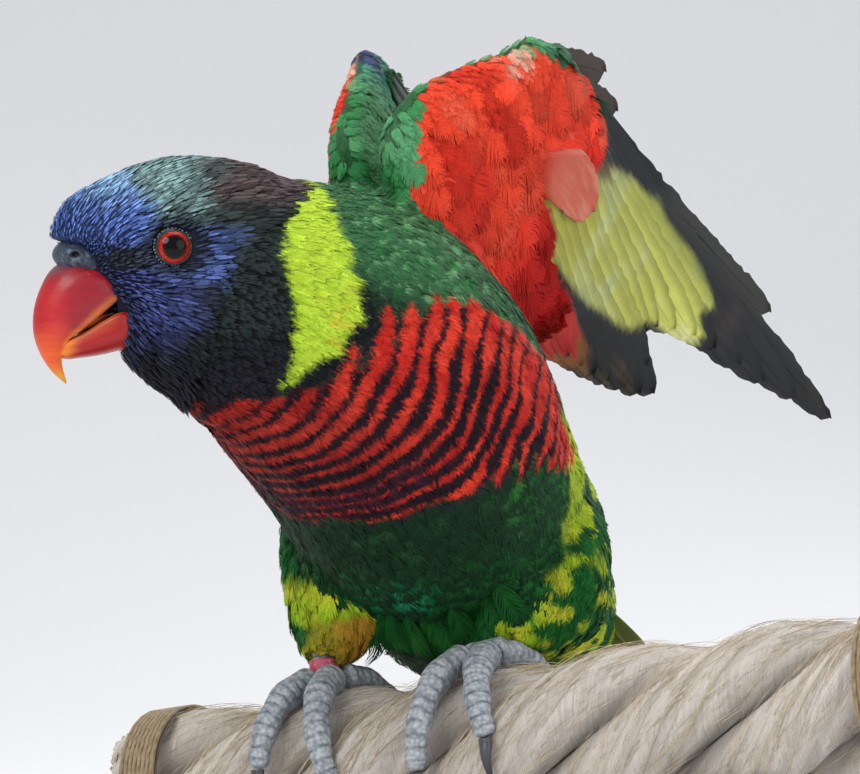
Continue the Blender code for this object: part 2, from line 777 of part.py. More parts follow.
def make_rope():
    """Three strands laid round each other; each fills its third of the rope and bulges outwards."""
    outline = [(0.0, 0.5)]
    for angle in (-57, -36, 0, 36, 57):
        turn = math.radians(angle)
        reach = STRAND_CENTRE * math.cos(turn)
        reach += math.sqrt(STRAND_RADIUS**2 - (STRAND_CENTRE * math.sin(turn)) ** 2)
        outline.append((angle, reach))
    for strand, name in enumerate(STRANDS):
        loops = []
        for step in range(ROPE_STEPS + 1):
            along = ROPE_FROM + (ROPE_TO - ROPE_FROM) * step / ROPE_STEPS
            turn = STRAND_TURN + 120 * strand - 360 * along / ROPE_LAY
            loops.append([on_rope(along, turn + angle, reach) * MM for angle, reach in outline])
        node(name, strand_mesh(loops), natural_rope)


def make_whippings():
    """A band of twine round each end of the rope."""
    inner = STRAND_CENTRE + STRAND_RADIUS + SLACK
    outer = inner + WHIPPING_THICKNESS
    for name, centre in (("left", ROPE_FROM + WHIPPING_INSET), ("right", ROPE_TO - WHIPPING_INSET)):
        half = WHIPPING_WIDTH / 2
        profile = ((-half, inner), (-half + 0.5, outer), (half - 0.5, outer), (half, inner))
        sections = []
        for k in range(WHIPPING_SIDES):
            angle = 360 * k / WHIPPING_SIDES
            sections.append([on_rope(centre + s, angle, r) * MM for s, r in profile])
        node("perch_whipping_" + name, closed_band(sections), whipping_twine)


# ---- legs and feet -------------------------------------------------------------------------------
def make_toe(side, foot, name, first, last, splay, share):
    """A toe follows the rope's round, thick at its root and thinner to the claw."""
    reach = STRAND_CENTRE + STRAND_RADIUS
    points = []
    for k in range(TOE_STEPS + 1):
        at = k / TOE_STEPS
        radius = TOE_RADIUS * (1.1 - TOE_TAPER * at) * (0.9 + 0.1 * share)
        angle = first + (last - first) * at * share
        along = foot + splay * (TOE_SPLAY_START + (TOE_SPLAY_END - TOE_SPLAY_START) * at)
        place = on_rope(along, angle, reach + radius * 0.72 + TOE_ARCH * math.sin(math.pi * at))
        points.append((*place, radius))
    toe = node("toe_" + side + "_" + name, round_tube(points, 6), foot_scales)
    claw_points = []
    end_angle = first + (last - first) * share
    sign = 1 if last > first else -1
    for k in range(CLAW_STEPS + 1):
        at = k / CLAW_STEPS
        angle = end_angle + sign * (CLAW_START + CLAW_REACH * at)
        lift = CLAW_LIFT + TOE_ARCH * math.sin(math.pi * at) - 0.5 * at
        place = on_rope(foot + splay * TOE_SPLAY_END, angle, reach + lift)
        claw_points.append((*place, CLAW_RADIUS * (1 - 0.82 * at)))
    claw = node("claw_" + side + "_" + name, round_tube(claw_points, 5), claw_horn)
    return toe, claw


def make_leg(side, foot, thigh_rows):
    """The feathered thigh, the bare shank below it and the four toes, two in front and two behind."""
    rows = through(thigh_rows, 6)
    thigh = node("thigh_" + side, round_tube([tuple(row) for row in rows], 11), lime_barred_feathers)
    hub = on_rope(foot, 0.0, STRAND_CENTRE + STRAND_RADIUS + HUB_LIFT)
    ankle = Vector(thigh_rows[-1][:3])
    shank_points = [
        (*(ankle + (ankle - hub).normalized() * SHANK_HIDDEN), SHANK_RADIUS),
        (*ankle, SHANK_RADIUS),
        (*ankle.lerp(hub, 0.5), SHANK_RADIUS),
        (*hub, SHANK_RADIUS * 1.15),
    ]
    shank = node("shank_" + side, round_tube(shank_points, 10), foot_scales)
    cut_out(shank, *STRANDS)
    toes = []
    for name, first, last, splay, share in TOES:
        if side == "right":
            splay = -splay
        toe, claw = make_toe(side, foot, name, first, last, splay, share)
        cut_out(toe, "shank_" + side, *toes, *STRANDS)
        cut_out(claw, toe.name, *STRANDS)
        toes.append(toe.name)
    cut_out(thigh, "trunk", "shank_" + side, *toes, *STRANDS)
    return thigh, ankle, hub


def make_leg_ring(ankle, hub, thigh):
    """A slim plastic ring, loose round the right shank."""
    way = (hub - ankle).normalized()
    side = way.orthogonal().normalized()
    other = way.cross(side)
    centre = ankle.lerp(hub, RING_PLACE)
    inner = SHANK_RADIUS + SLACK
    half = RING_HALF_WIDTH
    profile = ((-half, inner), (-half, RING_RADIUS), (half, RING_RADIUS), (half, inner))
    sections = []
    for k in range(RING_SIDES):
        turn = 2 * math.pi * k / RING_SIDES
        out = side * math.cos(turn) + other * math.sin(turn)
        sections.append([(centre + way * s + out * r) * MM for s, r in profile])
    node("leg_ring", closed_band(sections), pink_ring)
    cut_out(thigh, "leg_ring")
    for name, *_ in TOES:
        cut_out(bpy.data.objects["toe_right_" + name], "leg_ring")


# ---- display stand -------------------------------------------------------------------------------
def make_base():
    wide, deep, high = (size * MM for size in BASE_SIZE)
    corner = BASE_CORNER * MM
    bm = bmesh.new()
    outline = []
    for sx, sy, start in ((1, 1, 0), (-1, 1, 90), (-1, -1, 180), (1, -1, 270)):
        for k in range(5):
            turn = math.radians(start + 90 * k / 4)
            x = sx * (wide / 2 - corner) + corner * math.cos(turn)
            y = sy * (deep / 2 - corner) + corner * math.sin(turn)
            outline.append(bm.verts.new((x, y, 0.0)))
    face = bm.faces.new(outline)
    grown = bmesh.ops.extrude_face_region(bm, geom=[face])
    top = [v for v in grown["geom"] if isinstance(v, bmesh.types.BMVert)]
    bmesh.ops.translate(bm, verts=top, vec=(0, 0, high))
    rim = [e for e in bm.edges if all(v.co.z > high / 2 for v in e.verts)]
    bmesh.ops.bevel(bm, geom=rim, offset=BASE_EDGE * MM, segments=2, affect="EDGES", profile=0.5)
    return node("stand_base", bm, stand_wood, 30)


def make_rods_and_saddles():
    """Each rod stands on a small round foot and carries a curved saddle that fits the rope from below."""
    for name, along in ROD_PLACES:
        inner = STRAND_CENTRE + STRAND_RADIUS + SLACK
        outer = inner + SADDLE_THICKNESS
        under = on_rope(along, 180.0, (inner + outer) / 2)
        loops = []
        for k in range(SADDLE_STEPS + 1):
            angle = 180 + SADDLE_HALF_ANGLE * (2 * k / SADDLE_STEPS - 1)
            section = []
            for s, radius in ((-1, inner), (1, inner), (1, outer), (-1, outer)):
                section.append(on_rope(along + s * SADDLE_HALF_LENGTH, angle, radius) * MM)
            loops.append(section)
        node("stand_saddle_" + name, loft(loops), stand_metal, 30)
        low = BASE_SIZE[2] + GAP / MM
        top = low + ROD_FOOT_HEIGHT
        heights = (
            (low, ROD_FOOT_RADIUS),
            (top - 0.8, ROD_FOOT_RADIUS),
            (top, ROD_FOOT_RADIUS - 0.8),
            (top + 0.5, ROD_RADIUS + 1.2),
            (top + 2.0, ROD_RADIUS),
            (under.z + 1.0, ROD_RADIUS),
        )
        east = Vector((1, 0, 0))
        north = Vector((0, 1, 0))
        rings = [oval(mm(under.x, under.y, z), east, north, r, r, r, 14) for z, r in heights]
        rod = node("stand_rod_" + name, loft(rings), stand_metal, 30)
        cut_out(rod, "stand_saddle_" + name)


def main():
    for old in list(bpy.data.objects):
        bpy.data.objects.remove(old)
    trunk = make_trunk()
    make_whole_head(trunk["neck"])
    make_rope()
    make_whippings()
    make_wing("left", WING_LEFT, (ALULA_RAISED, ALULA_RAISED_EDGES))
    make_wing("right", WING_RIGHT, (ALULA_FLAT, ALULA_FLAT_EDGES))
    make_tail()
    make_leg("left", FOOT_LEFT, THIGH_LEFT)
    thigh, ankle, hub = make_leg("right", FOOT_RIGHT, THIGH_RIGHT)
    make_leg_ring(ankle, hub, thigh)
    make_base()
    make_rods_and_saddles()


main()
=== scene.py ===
import math

import bpy
import numpy as np
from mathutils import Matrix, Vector
from mathutils.bvhtree import BVHTree


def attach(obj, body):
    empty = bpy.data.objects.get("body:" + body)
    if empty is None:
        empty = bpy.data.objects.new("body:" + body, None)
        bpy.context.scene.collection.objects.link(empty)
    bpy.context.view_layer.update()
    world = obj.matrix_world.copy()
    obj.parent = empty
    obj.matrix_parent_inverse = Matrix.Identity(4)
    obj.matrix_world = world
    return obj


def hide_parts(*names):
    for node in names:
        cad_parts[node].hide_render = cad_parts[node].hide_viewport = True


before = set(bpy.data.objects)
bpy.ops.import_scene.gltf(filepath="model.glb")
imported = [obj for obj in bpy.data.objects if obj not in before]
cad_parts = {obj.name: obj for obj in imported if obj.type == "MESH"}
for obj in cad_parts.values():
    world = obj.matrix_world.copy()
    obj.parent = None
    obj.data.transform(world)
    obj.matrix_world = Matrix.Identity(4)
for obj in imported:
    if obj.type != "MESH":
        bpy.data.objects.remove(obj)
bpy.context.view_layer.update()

MM = 0.001
draw = np.random.default_rng(11)

# ---- the bird's main directions and places, in millimetres ----
HEADING = np.array((-0.465, -0.885, 0.0))
LEFT = np.array((0.885, -0.465, 0.0))
LOOK = np.array((-0.975, -0.222, 0.0))
HEAD_LEFT = np.array((0.222, -0.975, 0.0))
UP = np.array((0.0, 0.0, 1.0))
EYE_LEVEL = np.array((-50.9, -63.4, 200.8))  # the middle of the head between the eyes
# centre x, y, z of the trunk, from the tail's root to the inside of the head
SPINE = (
    (31, 39, 120), (22.5, 25, 129), (11, 7, 141), (0.5, -13, 156.5), (-9, -32, 172), (-19, -46, 184), (-30, -56, 192),
    (-39.5, -61, 196), (-46.5, -63, 198),
)
SPINE_STEPS = 300
# forward of the eyes, top, bottom, half width
HEAD = (
    (-25, 11, -6, 9), (-21, 14.8, -16, 15), (-14, 17, -23.5, 18), (-7, 17.9, -26.5, 17.8), (0, 17.7, -26, 15.6),
    (5, 16.4, -22, 14.2), (9.5, 14.6, -17.8, 12.6), (13.5, 12.8, -11, 10.8), (17, 10.9, -6, 8.6),
    (19.8, 8, -2.5, 6.2), (21.3, 4.6, 0.6, 3.2),
)
EYE_OUT = 12.2
EYE_UP = 0.2
EYE_RADIUS = 4.2
LID_BEADS = 34
# culmen forward, up; cutting edge forward, up; half width
UPPER_BILL = (
    (13.5, -1.5, 7.6, -8.2, 5.2), (17.5, -1.6, 9.2, -9.6, 6), (20.8, -3.4, 11.3, -11.4, 6.2),
    (23.2, -7.4, 13.6, -13.4, 5.7), (24.4, -11.8, 16, -15.4, 4.9), (24.3, -16.2, 18.2, -17.2, 3.8),
    (22.9, -20, 19.2, -19.6, 2.5), (20.9, -22.9, 19, -22.2, 1.3), (18.7, -24.9, 18.2, -24.6, 0.4),
)
# forward, top, bottom, half width
LOWER_BILL = (
    (4.5, -12.6, -18.2, 5), (8, -12.1, -18.9, 6.1), (12, -14.4, -19.8, 5.6), (15.5, -16.9, -20.3, 4.5),
    (17.8, -18.6, -20.5, 3), (18.9, -19.6, -20.4, 1.2),
)
TONGUE = (
    (7.5, -11.6, -13, 2.6), (10.5, -12, -13.9, 3), (13.2, -13.6, -15.2, 2.6), (14.8, -15.2, -16, 1.4),
)
CERE_CENTRE = (15.9, -0.8)  # forward, up
CERE_SIZE = (4.9, 6.5, 3.2)  # half sizes forward, sideways, up

# where the face ends and bill, cere and gape begin: up, forward
FACE_FRONT = (
    (-20.5, 20), (-19.4, 12), (-18.4, 8.2), (-17, 7.7), (-11.4, 8.2), (-9.2, 8.5), (-8.2, 10.2), (-5, 12), (-4, 13.2),
    (-1, 13.8), (0.6, 15), (1.8, 18), (2.8, 24),
)

# the flight feathers on the flat of the wing: root a, b; tip a, b
PRIMARIES = (
    (15, -3.2, 148, 0), (13.6, -1.8, 134, 3.2), (12.2, -0.8, 122, 6.4), (11, 0.2, 112.5, 8.2), (9.8, 1, 102.5, 9.9),
    (8.6, 1.8, 94.5, 11.9), (7.4, 2.6, 87.5, 14.6), (6.2, 3.4, 82, 17.6), (5, 4.2, 79.5, 20.4),
)
SECONDARIES = (
    (4, 7.5, 85, 25.6), (4.4, 10.5, 91.5, 28.8), (4.8, 13.5, 87.5, 31.2), (5.2, 16.5, 82, 33.2),
    (5.6, 19.5, 76.5, 35), (6, 22.5, 71, 36.4), (6.4, 25.5, 66, 37.6), (6.8, 28.5, 60.5, 38.6),
)

TAIL_ROOT = np.array((29.0, 29.0, 127.0))
TAIL_WAY = np.array((0.33, 0.63, -0.70))
TAIL_LENGTH = 112.0
TAIL_STEP = 7.4  # each pair of tail feathers is so much shorter than the one inside it
TAIL_SPREAD = 13.0  # degrees either side
TAIL_PAIRS = 6

ROPE_MIDDLE = np.array((-3.0, -25.0, 99.5))
ROPE_WAY = np.array((0.874, -0.459, 0.165))
ROPE_FROM = -62.0
ROPE_TO = 114.0
ROPE_LAY = 99.0  # length of rope in which a strand goes once round
STRAND_CENTRE = 8.4
STRAND_RADIUS = 8.6
STRAND_TURN = 62.0  # degrees, of the first strand at the rope's middle


# ---- numbers and arrays ----
def unit(v):
    v = np.asarray(v, float)
    return v / np.maximum(np.linalg.norm(v, axis=-1, keepdims=True), 1e-12)


def ease(low, high, x):
    """0 below low, 1 above high, smooth between; works the other way round too."""
    t = np.clip((np.asarray(x, float) - low) / (high - low), 0.0, 1.0)
    return t * t * (3 - 2 * t)


def blend(a, b, share):
    """a where share is 0, b where it is 1; colours or places."""
    share = np.asarray(share, float)
    if share.ndim and not (share.shape[-1] == 1 and share.ndim == max(np.ndim(a), np.ndim(b))):
        share = share[..., None]
    return np.asarray(a) * (1 - share) + np.asarray(b) * share


def paint(red, green, blue):
    """A colour as a painter mixes it, 0 to 255, turned into light."""
    c = np.array((red, green, blue)) / 255.0
    return np.where(c <= 0.04045, c / 12.92, ((c + 0.055) / 1.055) ** 2.4)


def cloud(places, size, seed=0):
    """Smooth noise from -1 to 1 at places in millimetres, in lumps of about that size."""
    q = np.asarray(places, float) / size + seed * 31.7
    cell = np.floor(q).astype(np.int64)
    f = q - cell
    f = f * f * (3 - 2 * f)
    total = np.zeros(q.shape[:-1])
    for corner in range(8):
        step = np.array((corner & 1, corner >> 1 & 1, corner >> 2 & 1))
        k = cell + step
        h = (k[..., 0] * 374761393 + k[..., 1] * 668265263 + k[..., 2] * 362437 + seed * 1013904223) & 0xFFFFFFFF
        h = ((h ^ (h >> 13)) * 1274126177) & 0xFFFFFFFF
        h = (h ^ (h >> 16)) & 0xFFFFFFFF
        total += (h / 2147483647.5 - 1) * np.prod(np.where(step, f, 1 - f), axis=-1)
    return total


def layered(colour, *layers):
    """A colour with others laid over it, each by its own share."""
    for share, other in layers:
        colour = blend(colour, other, share)
    return colour


def mottle(axes, size, seed, stretch=(1.0, 1.0, 1.0)):
    """The same smooth noise at places given axis by axis."""
    return cloud(np.stack(np.broadcast_arrays(*axes), axis=-1) * stretch, size, seed)


def along_edge(edge, at):
    """Reads a line drawn as pairs of a place and a value."""
    places, values = zip(*edge)
    return np.interp(at, places, values)


def full_turn(count):
    """Even angles right round, in radians."""
    return np.linspace(0, 2 * np.pi, count, endpoint=False)


def through(rows, count):
    """Rows read at even steps from a smooth curve through the given rows; their first three are places."""
    rows = np.array(rows, float)
    at = np.concatenate(([0.0], np.cumsum(np.linalg.norm(np.diff(rows[:, :3], axis=0), axis=1))))
    slopes = np.gradient(rows, at, axis=0)
    s = np.linspace(0.0, at[-1], count)
    i = np.clip(np.searchsorted(at, s, side="right") - 1, 0, len(at) - 2)
    h = (at[i + 1] - at[i])[:, None]
    t = ((s - at[i]) / h[:, 0])[:, None]
    return (
        (2 * t**3 - 3 * t**2 + 1) * rows[i]
        + (t**3 - 2 * t**2 + t) * h * slopes[i]
        + (3 * t**2 - 2 * t**3) * rows[i + 1]
        + (t**3 - t**2) * h * slopes[i + 1]
    )


def in_head(forward, left, above):
    """Places given in the head's own frame."""
    f, l, a = np.broadcast_arrays(*(np.asarray(x, float) for x in (forward, left, above)))
    return EYE_LEVEL + f[..., None] * LOOK + l[..., None] * HEAD_LEFT + a[..., None] * UP


def head_frame(places):
    """Forward, left and above the eyes, of places in millimetres."""
    d = places - EYE_LEVEL
    return d @ LOOK, d @ HEAD_LEFT, d[:, 2]


class Spine:
    """The trunk's middle line: finds each place's share of the way to the head and its angle round it."""

    def __init__(self):
        self.places = through(SPINE, SPINE_STEPS)
        self.along = unit(np.gradient(self.places, axis=0))
        turn = np.clip((np.linspace(0, 1, SPINE_STEPS) - 0.55) / 0.45, 0, 1)[:, None] * 0.6
        side = LEFT * (1 - turn) + HEAD_LEFT * turn
        self.side = unit(side - self.along * np.sum(side * self.along, axis=1)[:, None])
        self.back = unit(np.cross(self.side, self.along))
        if self.back[SPINE_STEPS // 2, 2] < 0:
            self.back = -self.back
        self.length = np.linalg.norm(np.diff(self.places, axis=0), axis=1).sum()

    def read(self, places):
        """Share of the way, angle from the belly line, positive to the bird's left, and the way to the head."""
        index = np.empty(len(places), int)
        own = np.sum(self.places**2, axis=1)
        lot = 20000
        for start in range(0, len(places), lot):
            part = places[start:start + lot]
            index[start:start + lot] = np.argmin(own - 2 * part @ self.places.T, axis=1)
        out = places - self.places[index]
        sideways = np.sum(out * self.side[index], axis=1)
        backwards = np.sum(out * self.back[index], axis=1)
        return index / (SPINE_STEPS - 1.0), np.degrees(np.arctan2(sideways, -backwards)), self.along[index]


spine = Spine()


class Plane:
    """The flat of a wing or of the tail: a along its longest feather, b across it, lift to its upper side."""

    def __init__(self, origin, along, across, upper, length, camber):
        self.origin = np.array(origin, float)
        self.along, self.across, self.upper = unit(along), unit(across), unit(upper)
        self.length = length
        self.camber = camber

    def bow(self, a):
        return self.camber * np.sin(np.pi * np.clip(a / self.length, 0, 1))

    def point(self, a, b, lift=0.0):
        a, b, lift = np.broadcast_arrays(*(np.asarray(x, float) for x in (a, b, lift)))
        flat = self.origin + a[..., None] * self.along + b[..., None] * self.across
        return flat + (lift + self.bow(a))[..., None] * self.upper

    def read(self, places):
        d = places - self.origin
        a = d @ self.along
        return a, d @ self.across, d @ self.upper - self.bow(a)


def wing_plane(side, wrist, hand, shoulder):
    along = unit(hand)
    across = np.array(shoulder, float) - np.array(wrist, float)
    across = unit(across - along * across.dot(along))
    upper = np.cross(across, along)
    outward = LEFT if side == "left" else -LEFT
    if upper.dot(outward) > 0:
        upper = -upper
    return Plane(wrist, along, across, upper, np.linalg.norm(hand), 4.0)


WINGS = {
    "left": wing_plane("left", (20.0, -25.0, 244.0), (71.0, 105.0, -76.0), (0.0, -30.0, 188.0)),
    "right": wing_plane("right", (-14.0, -7.0, 243.0), (35.0, 130.0, -60.0), (-12.5, -30.0, 207.0)),
}
tail_way = unit(TAIL_WAY)
tail_side = unit(unit(LEFT) - tail_way * unit(LEFT).dot(tail_way))
TAIL = Plane(TAIL_ROOT, tail_way, tail_side, np.cross(tail_side, tail_way), TAIL_LENGTH, 0.0)

ROPE_WAY = unit(ROPE_WAY)
ROPE_FRONT = unit(unit(HEADING) - ROPE_WAY * unit(HEADING).dot(ROPE_WAY))
ROPE_UP = unit(np.cross(ROPE_FRONT, ROPE_WAY))


def on_rope(along, angle, radius):
    """Places by the rope: along it, at an angle in degrees from its top towards the front."""
    along, angle, radius = np.broadcast_arrays(*(np.asarray(x, float) for x in (along, angle, radius)))
    turn = np.radians(angle)
    out = np.cos(turn)[..., None] * ROPE_UP + np.sin(turn)[..., None] * ROPE_FRONT
    return ROPE_MIDDLE + along[..., None] * ROPE_WAY + out * radius[..., None]


# ---- meshes and pieces ----
def grid_faces(rows, columns, closed=False, first=0):
    """Four-sided faces over a grid of places kept row by row; closed joins the last column to the first."""
    r = np.arange(rows - 1)[:, None]
    c = np.arange(columns if closed else columns - 1)[None, :]
    n = (c + 1) % columns
    quads = np.stack((r * columns + c, r * columns + n, (r + 1) * columns + n, (r + 1) * columns + c), axis=-1)
    return quads.reshape(-1, 4) + first


def make_mesh(name, places, faces, tint=None, maps=None, smooth=True):
    """A mesh from places in millimetres and arrays of faces; tint and maps give a value at each place."""
    mesh = bpy.data.meshes.new(name)
    corners = np.concatenate([f.ravel() for f in faces]).astype(np.int32)
    counts = np.concatenate([np.full(len(f), f.shape[1]) for f in faces])
    mesh.vertices.add(len(places))
    mesh.vertices.foreach_set("co", (np.asarray(places, float) * MM).astype(np.float32).ravel())
    mesh.loops.add(len(corners))
    mesh.loops.foreach_set("vertex_index", corners)
    mesh.polygons.add(len(counts))
    mesh.polygons.foreach_set("loop_start", np.concatenate(([0], np.cumsum(counts)[:-1])).astype(np.int32))
    for label, values in (maps or {}).items():
        mesh.uv_layers.new(name=label).data.foreach_set("uv", np.asarray(values, np.float32)[corners].ravel())
    if tint is not None:
        set_tint(mesh, tint)
    mesh.update(calc_edges=True)
    mesh.polygons.foreach_set("use_smooth", np.full(len(counts), smooth))
    return mesh


def set_tint(mesh, tint):
    """Gives a mesh its own colours, one to each place."""
    colours = np.ones((len(tint), 4), np.float32)
    colours[:, :3] = tint
    mesh.color_attributes.new("tint", "FLOAT_COLOR", "POINT").data.foreach_set("color", colours.ravel())


def set_finish(mesh, finish):
    mesh.materials.clear()
    mesh.materials.append(finish)


def place_piece(name, mesh, finish, nodes):
    """Puts a mesh in the scene as a piece that rides with the bird and stands for its nodes."""
    piece = bpy.data.objects.new(name + "_model" if name in nodes else name, mesh)
    bpy.context.scene.collection.objects.link(piece)
    set_finish(mesh, finish)
    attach(piece, "root")
    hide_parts(*nodes)
    return piece


class Heap:
    """Gathers many small forms into one piece."""

    def __init__(self):
        self.places = []
        self.faces = {3: [], 4: []}
        self.tints = []
        self.maps = {}
        self.count = 0

    def add(self, places, faces, tint, **maps):
        places = np.asarray(places, float).reshape(-1, 3)
        for f in faces:
            self.faces[f.shape[1]].append(f + self.count)
        self.places.append(places)
        self.tints.append(np.broadcast_to(tint, places.shape))
        for label, values in maps.items():
            self.maps.setdefault(label, []).append(np.asarray(values, float).reshape(-1, 2))
        self.count += len(places)

    def add_closed(self, rings, ends, tint, end_tints, flip=False, **maps):
        """A form of rings of places, closed by a first and a last place."""
        places = np.concatenate((rings.reshape(-1, 3), ends))
        tints = np.concatenate((np.reshape(tint, (-1, 3)), end_tints))
        self.add(places, closed_faces(*rings.shape[:2], flip), tints, **maps)

    def mesh(self, name, smooth=True):
        faces = [np.concatenate(f) for f in self.faces.values() if f]
        maps = {label: np.concatenate(v) for label, v in self.maps.items()}
        return make_mesh(name, np.concatenate(self.places), faces, np.concatenate(self.tints), maps, smooth)

    def place(self, name, finish, slot, *nodes, smooth=True):
        return place_piece(name, self.mesh(name, smooth), finish, nodes)


def closed_faces(rows, around, flip=False):
    """Faces of rings of places in a row, closed by one more place at each end."""
    count = rows * around
    ring = np.arange(around)
    after = np.roll(ring, -1)
    faces = [
        grid_faces(rows, around, True),
        np.stack((after, ring, np.full(around, count)), axis=-1),
        np.stack((ring + count - around, after + count - around, np.full(around, count + 1)), axis=-1),
    ]
    return [f[:, ::-1] for f in faces] if flip else faces


def ribbon_faces(ribbons, joints):
    """Four-sided faces of ribbons kept one after another as pairs of places."""
    first = np.arange(ribbons)[:, None] * (joints + 1) * 2 + np.arange(joints) * 2
    return np.stack((first, first + 1, first + 3, first + 2), axis=-1).reshape(-1, 4)


def copied_faces(faces, copies, size):
    """The faces of many copies of a form that has size places."""
    return (faces[None] + np.arange(copies)[:, None, None] * size).reshape(-1, faces.shape[1])


def tube(path, radii, around, caps=True, flat=1.0, side=None):
    """Places and faces of a round tube along a path, with closed ends."""
    path = np.asarray(path, float)
    radii = np.broadcast_to(np.asarray(radii, float), (len(path),))[:, None, None]
    along = unit(np.gradient(path, axis=0))
    if side is None:
        side = np.cross(along[0], UP if abs(along[0][2]) < 0.9 else LEFT)
    sides = []
    for way in along:
        side = unit(side - way * np.dot(side, way))
        sides.append(side)
    sides = np.array(sides)
    turn = full_turn(around)[None, :, None]
    out = np.cos(turn) * sides[:, None] + flat * np.sin(turn) * np.cross(along, sides)[:, None]
    places = (path[:, None] + radii * out).reshape(-1, 3)
    if not caps:
        return places, [grid_faces(len(path), around, True)]
    return np.concatenate((places, path[:1], path[-1:])), closed_faces(len(path), around)


# ---- materials ----
class Value:
    """A number, colour or direction on its way through a material."""

    def __init__(self, finish, socket):
        self.finish = finish
        self.socket = socket

    def maths(self, operation, first, second=None):
        inputs = {0: first} if second is None else {0: first, 1: second}
        return self.finish.node("ShaderNodeMath", {"operation": operation}, inputs)

    def __add__(self, other):
        return self.maths("ADD", self, other)

    def __sub__(self, other):
        return self.maths("SUBTRACT", self, other)

    def __rsub__(self, other):
        return self.maths("SUBTRACT", other, self)

    def __mul__(self, other):
        return self.maths("MULTIPLY", self, other)

    def __truediv__(self, other):
        return self.maths("DIVIDE", self, other)

    def __pow__(self, other):
        return self.maths("POWER", self, other)

    __radd__ = __add__
    __rmul__ = __mul__

    def wave(self):
        return self.maths("SINE", self)

    def size(self):
        return self.maths("ABSOLUTE", self)

    def within(self, low, high):
        """0 below low, 1 above high, straight between."""
        return self.finish.node("ShaderNodeMapRange", {}, {0: self, 1: low, 2: high})


class Finish:
    """Builds one material from nodes; shade() ends it."""

    def __init__(self, name):
        self.material = bpy.data.materials.new(name)
        self.material.use_nodes = True
        self.tree = self.material.node_tree
        self.tree.nodes.clear()

    def node(self, kind, settings=None, inputs=None, output=0):
        made = self.tree.nodes.new(kind)
        for key, value in (settings or {}).items():
            setattr(made, key, value)
        for key, value in (inputs or {}).items():
            if isinstance(value, Value):
                self.tree.links.new(value.socket, made.inputs[key])
            elif np.ndim(value) and len(value) == 3 and made.inputs[key].type == "RGBA":
                made.inputs[key].default_value = (*value, 1.0)
            else:
                made.inputs[key].default_value = value
        return Value(self, made.outputs[output]) if made.outputs else None

    def mix(self, first, second, share, how="MIX"):
        """Two colours mixed."""
        settings = {"data_type": "RGBA", "blend_type": how}
        return self.node("ShaderNodeMix", settings, {0: share, 6: first, 7: second}, 2)

    def times(self, colour, factors):
        return self.mix(colour, factors, 1.0, "MULTIPLY")

    def worked(self, factors, share):
        """The piece's own colours, deepened by factors where share is 0."""
        return self.mix(self.times(self.tint(), factors), self.tint(), share)

    def place(self):
        return self.node("ShaderNodeTexCoord", output="Object")

    def stretch(self, vector, factors):
        return self.node("ShaderNodeVectorMath", {"operation": "MULTIPLY"}, {0: vector, 1: factors})

    def noise(self, size, vector=None, detail=3.0, roughness=0.55):
        """Noise from 0 to 1 in lumps of about size, in metres where no vector is given."""
        source = vector or self.place()
        inputs = {"Vector": source, "Scale": 1.0 / size, "Detail": detail, "Roughness": roughness}
        return self.node("ShaderNodeTexNoise", {}, inputs)

    def cells(self, size):
        return self.node("ShaderNodeTexVoronoi", {}, {"Vector": self.place(), "Scale": 1.0 / size})

    def tint(self):
        return self.node("ShaderNodeVertexColor", {"layer_name": "tint"})

    def uv(self, label):
        return self.node("ShaderNodeUVMap", {"uv_map": label})

    def parts(self, vector):
        split = self.node("ShaderNodeSeparateXYZ", {}, {0: vector})
        return [Value(self, split.socket.node.outputs[i]) for i in range(3)]

    def bump(self, height, strength, depth):
        return self.node("ShaderNodeBump", {}, {"Height": height, "Strength": strength, "Distance": depth})

    def shade(self, **sockets):
        """Ends the material; socket names have _ for their spaces."""
        inputs = {key.replace("_", " "): value for key, value in sockets.items()}
        shader = self.node("ShaderNodeBsdfPrincipled", {}, inputs)
        self.node("ShaderNodeOutputMaterial", {}, {"Surface": shader})
        return self.material


def feather_finish(name, roughness=0.62, sheen=0.02, gloss=0.1):
    """Barbs: their own colours, broken a little from barb to barb."""
    f = Finish(name)
    streak = f.noise(0.0011, detail=4.0)
    fine = f.noise(0.00035, detail=2.0)
    shade = (streak * 0.5 + fine * 0.5).within(0.25, 0.75)
    bright = f.times(f.tint(), (1.25, 1.25, 1.25))
    return f.shade(
        Base_Color=f.mix(f.times(f.tint(), (0.72, 0.72, 0.74)), bright, shade),
        Roughness=shade * 0.2 + (roughness - 0.1),
        Normal=f.bump(fine, 0.25, 0.0002),
        Specular_IOR_Level=gloss,
        Sheen_Weight=sheen,
        Sheen_Roughness=0.4,
    )


def skin_finish(name):
    """What shows between the feathers: their down, darker than the vanes: partly its own duller colour, partly painted
    shade under the coat.
    """
    f = Finish(name)
    lumps = f.noise(0.0012, detail=5.0)
    return f.shade(
        Base_Color=f.worked((0.45, 0.45, 0.45), lumps.within(0.3, 0.8)),
        Roughness=lumps * 0.2 + 0.65,
        Normal=f.bump(lumps, 0.6, 0.0006),
        Specular_IOR_Level=0.15,
    )


def vane_finish(name):
    """A firm vane: fine slanting barbs either side of the shaft."""
    f = Finish(name)
    x, y, _ = f.parts(f.uv("vane"))
    barbs = ((y - x.size() * 1.3) * 900.0).wave() * 0.5 + 0.5
    shade = barbs * 0.35 + f.noise(0.004, detail=4.0) * 0.65
    return f.shade(
        Base_Color=f.worked((0.7, 0.7, 0.72), shade.within(0.15, 0.7)),
        Roughness=shade * 0.15 + 0.42,
        Normal=f.bump(barbs, 0.3, 0.00008),
        Specular_IOR_Level=0.25,
        Sheen_Weight=0.03,
    )


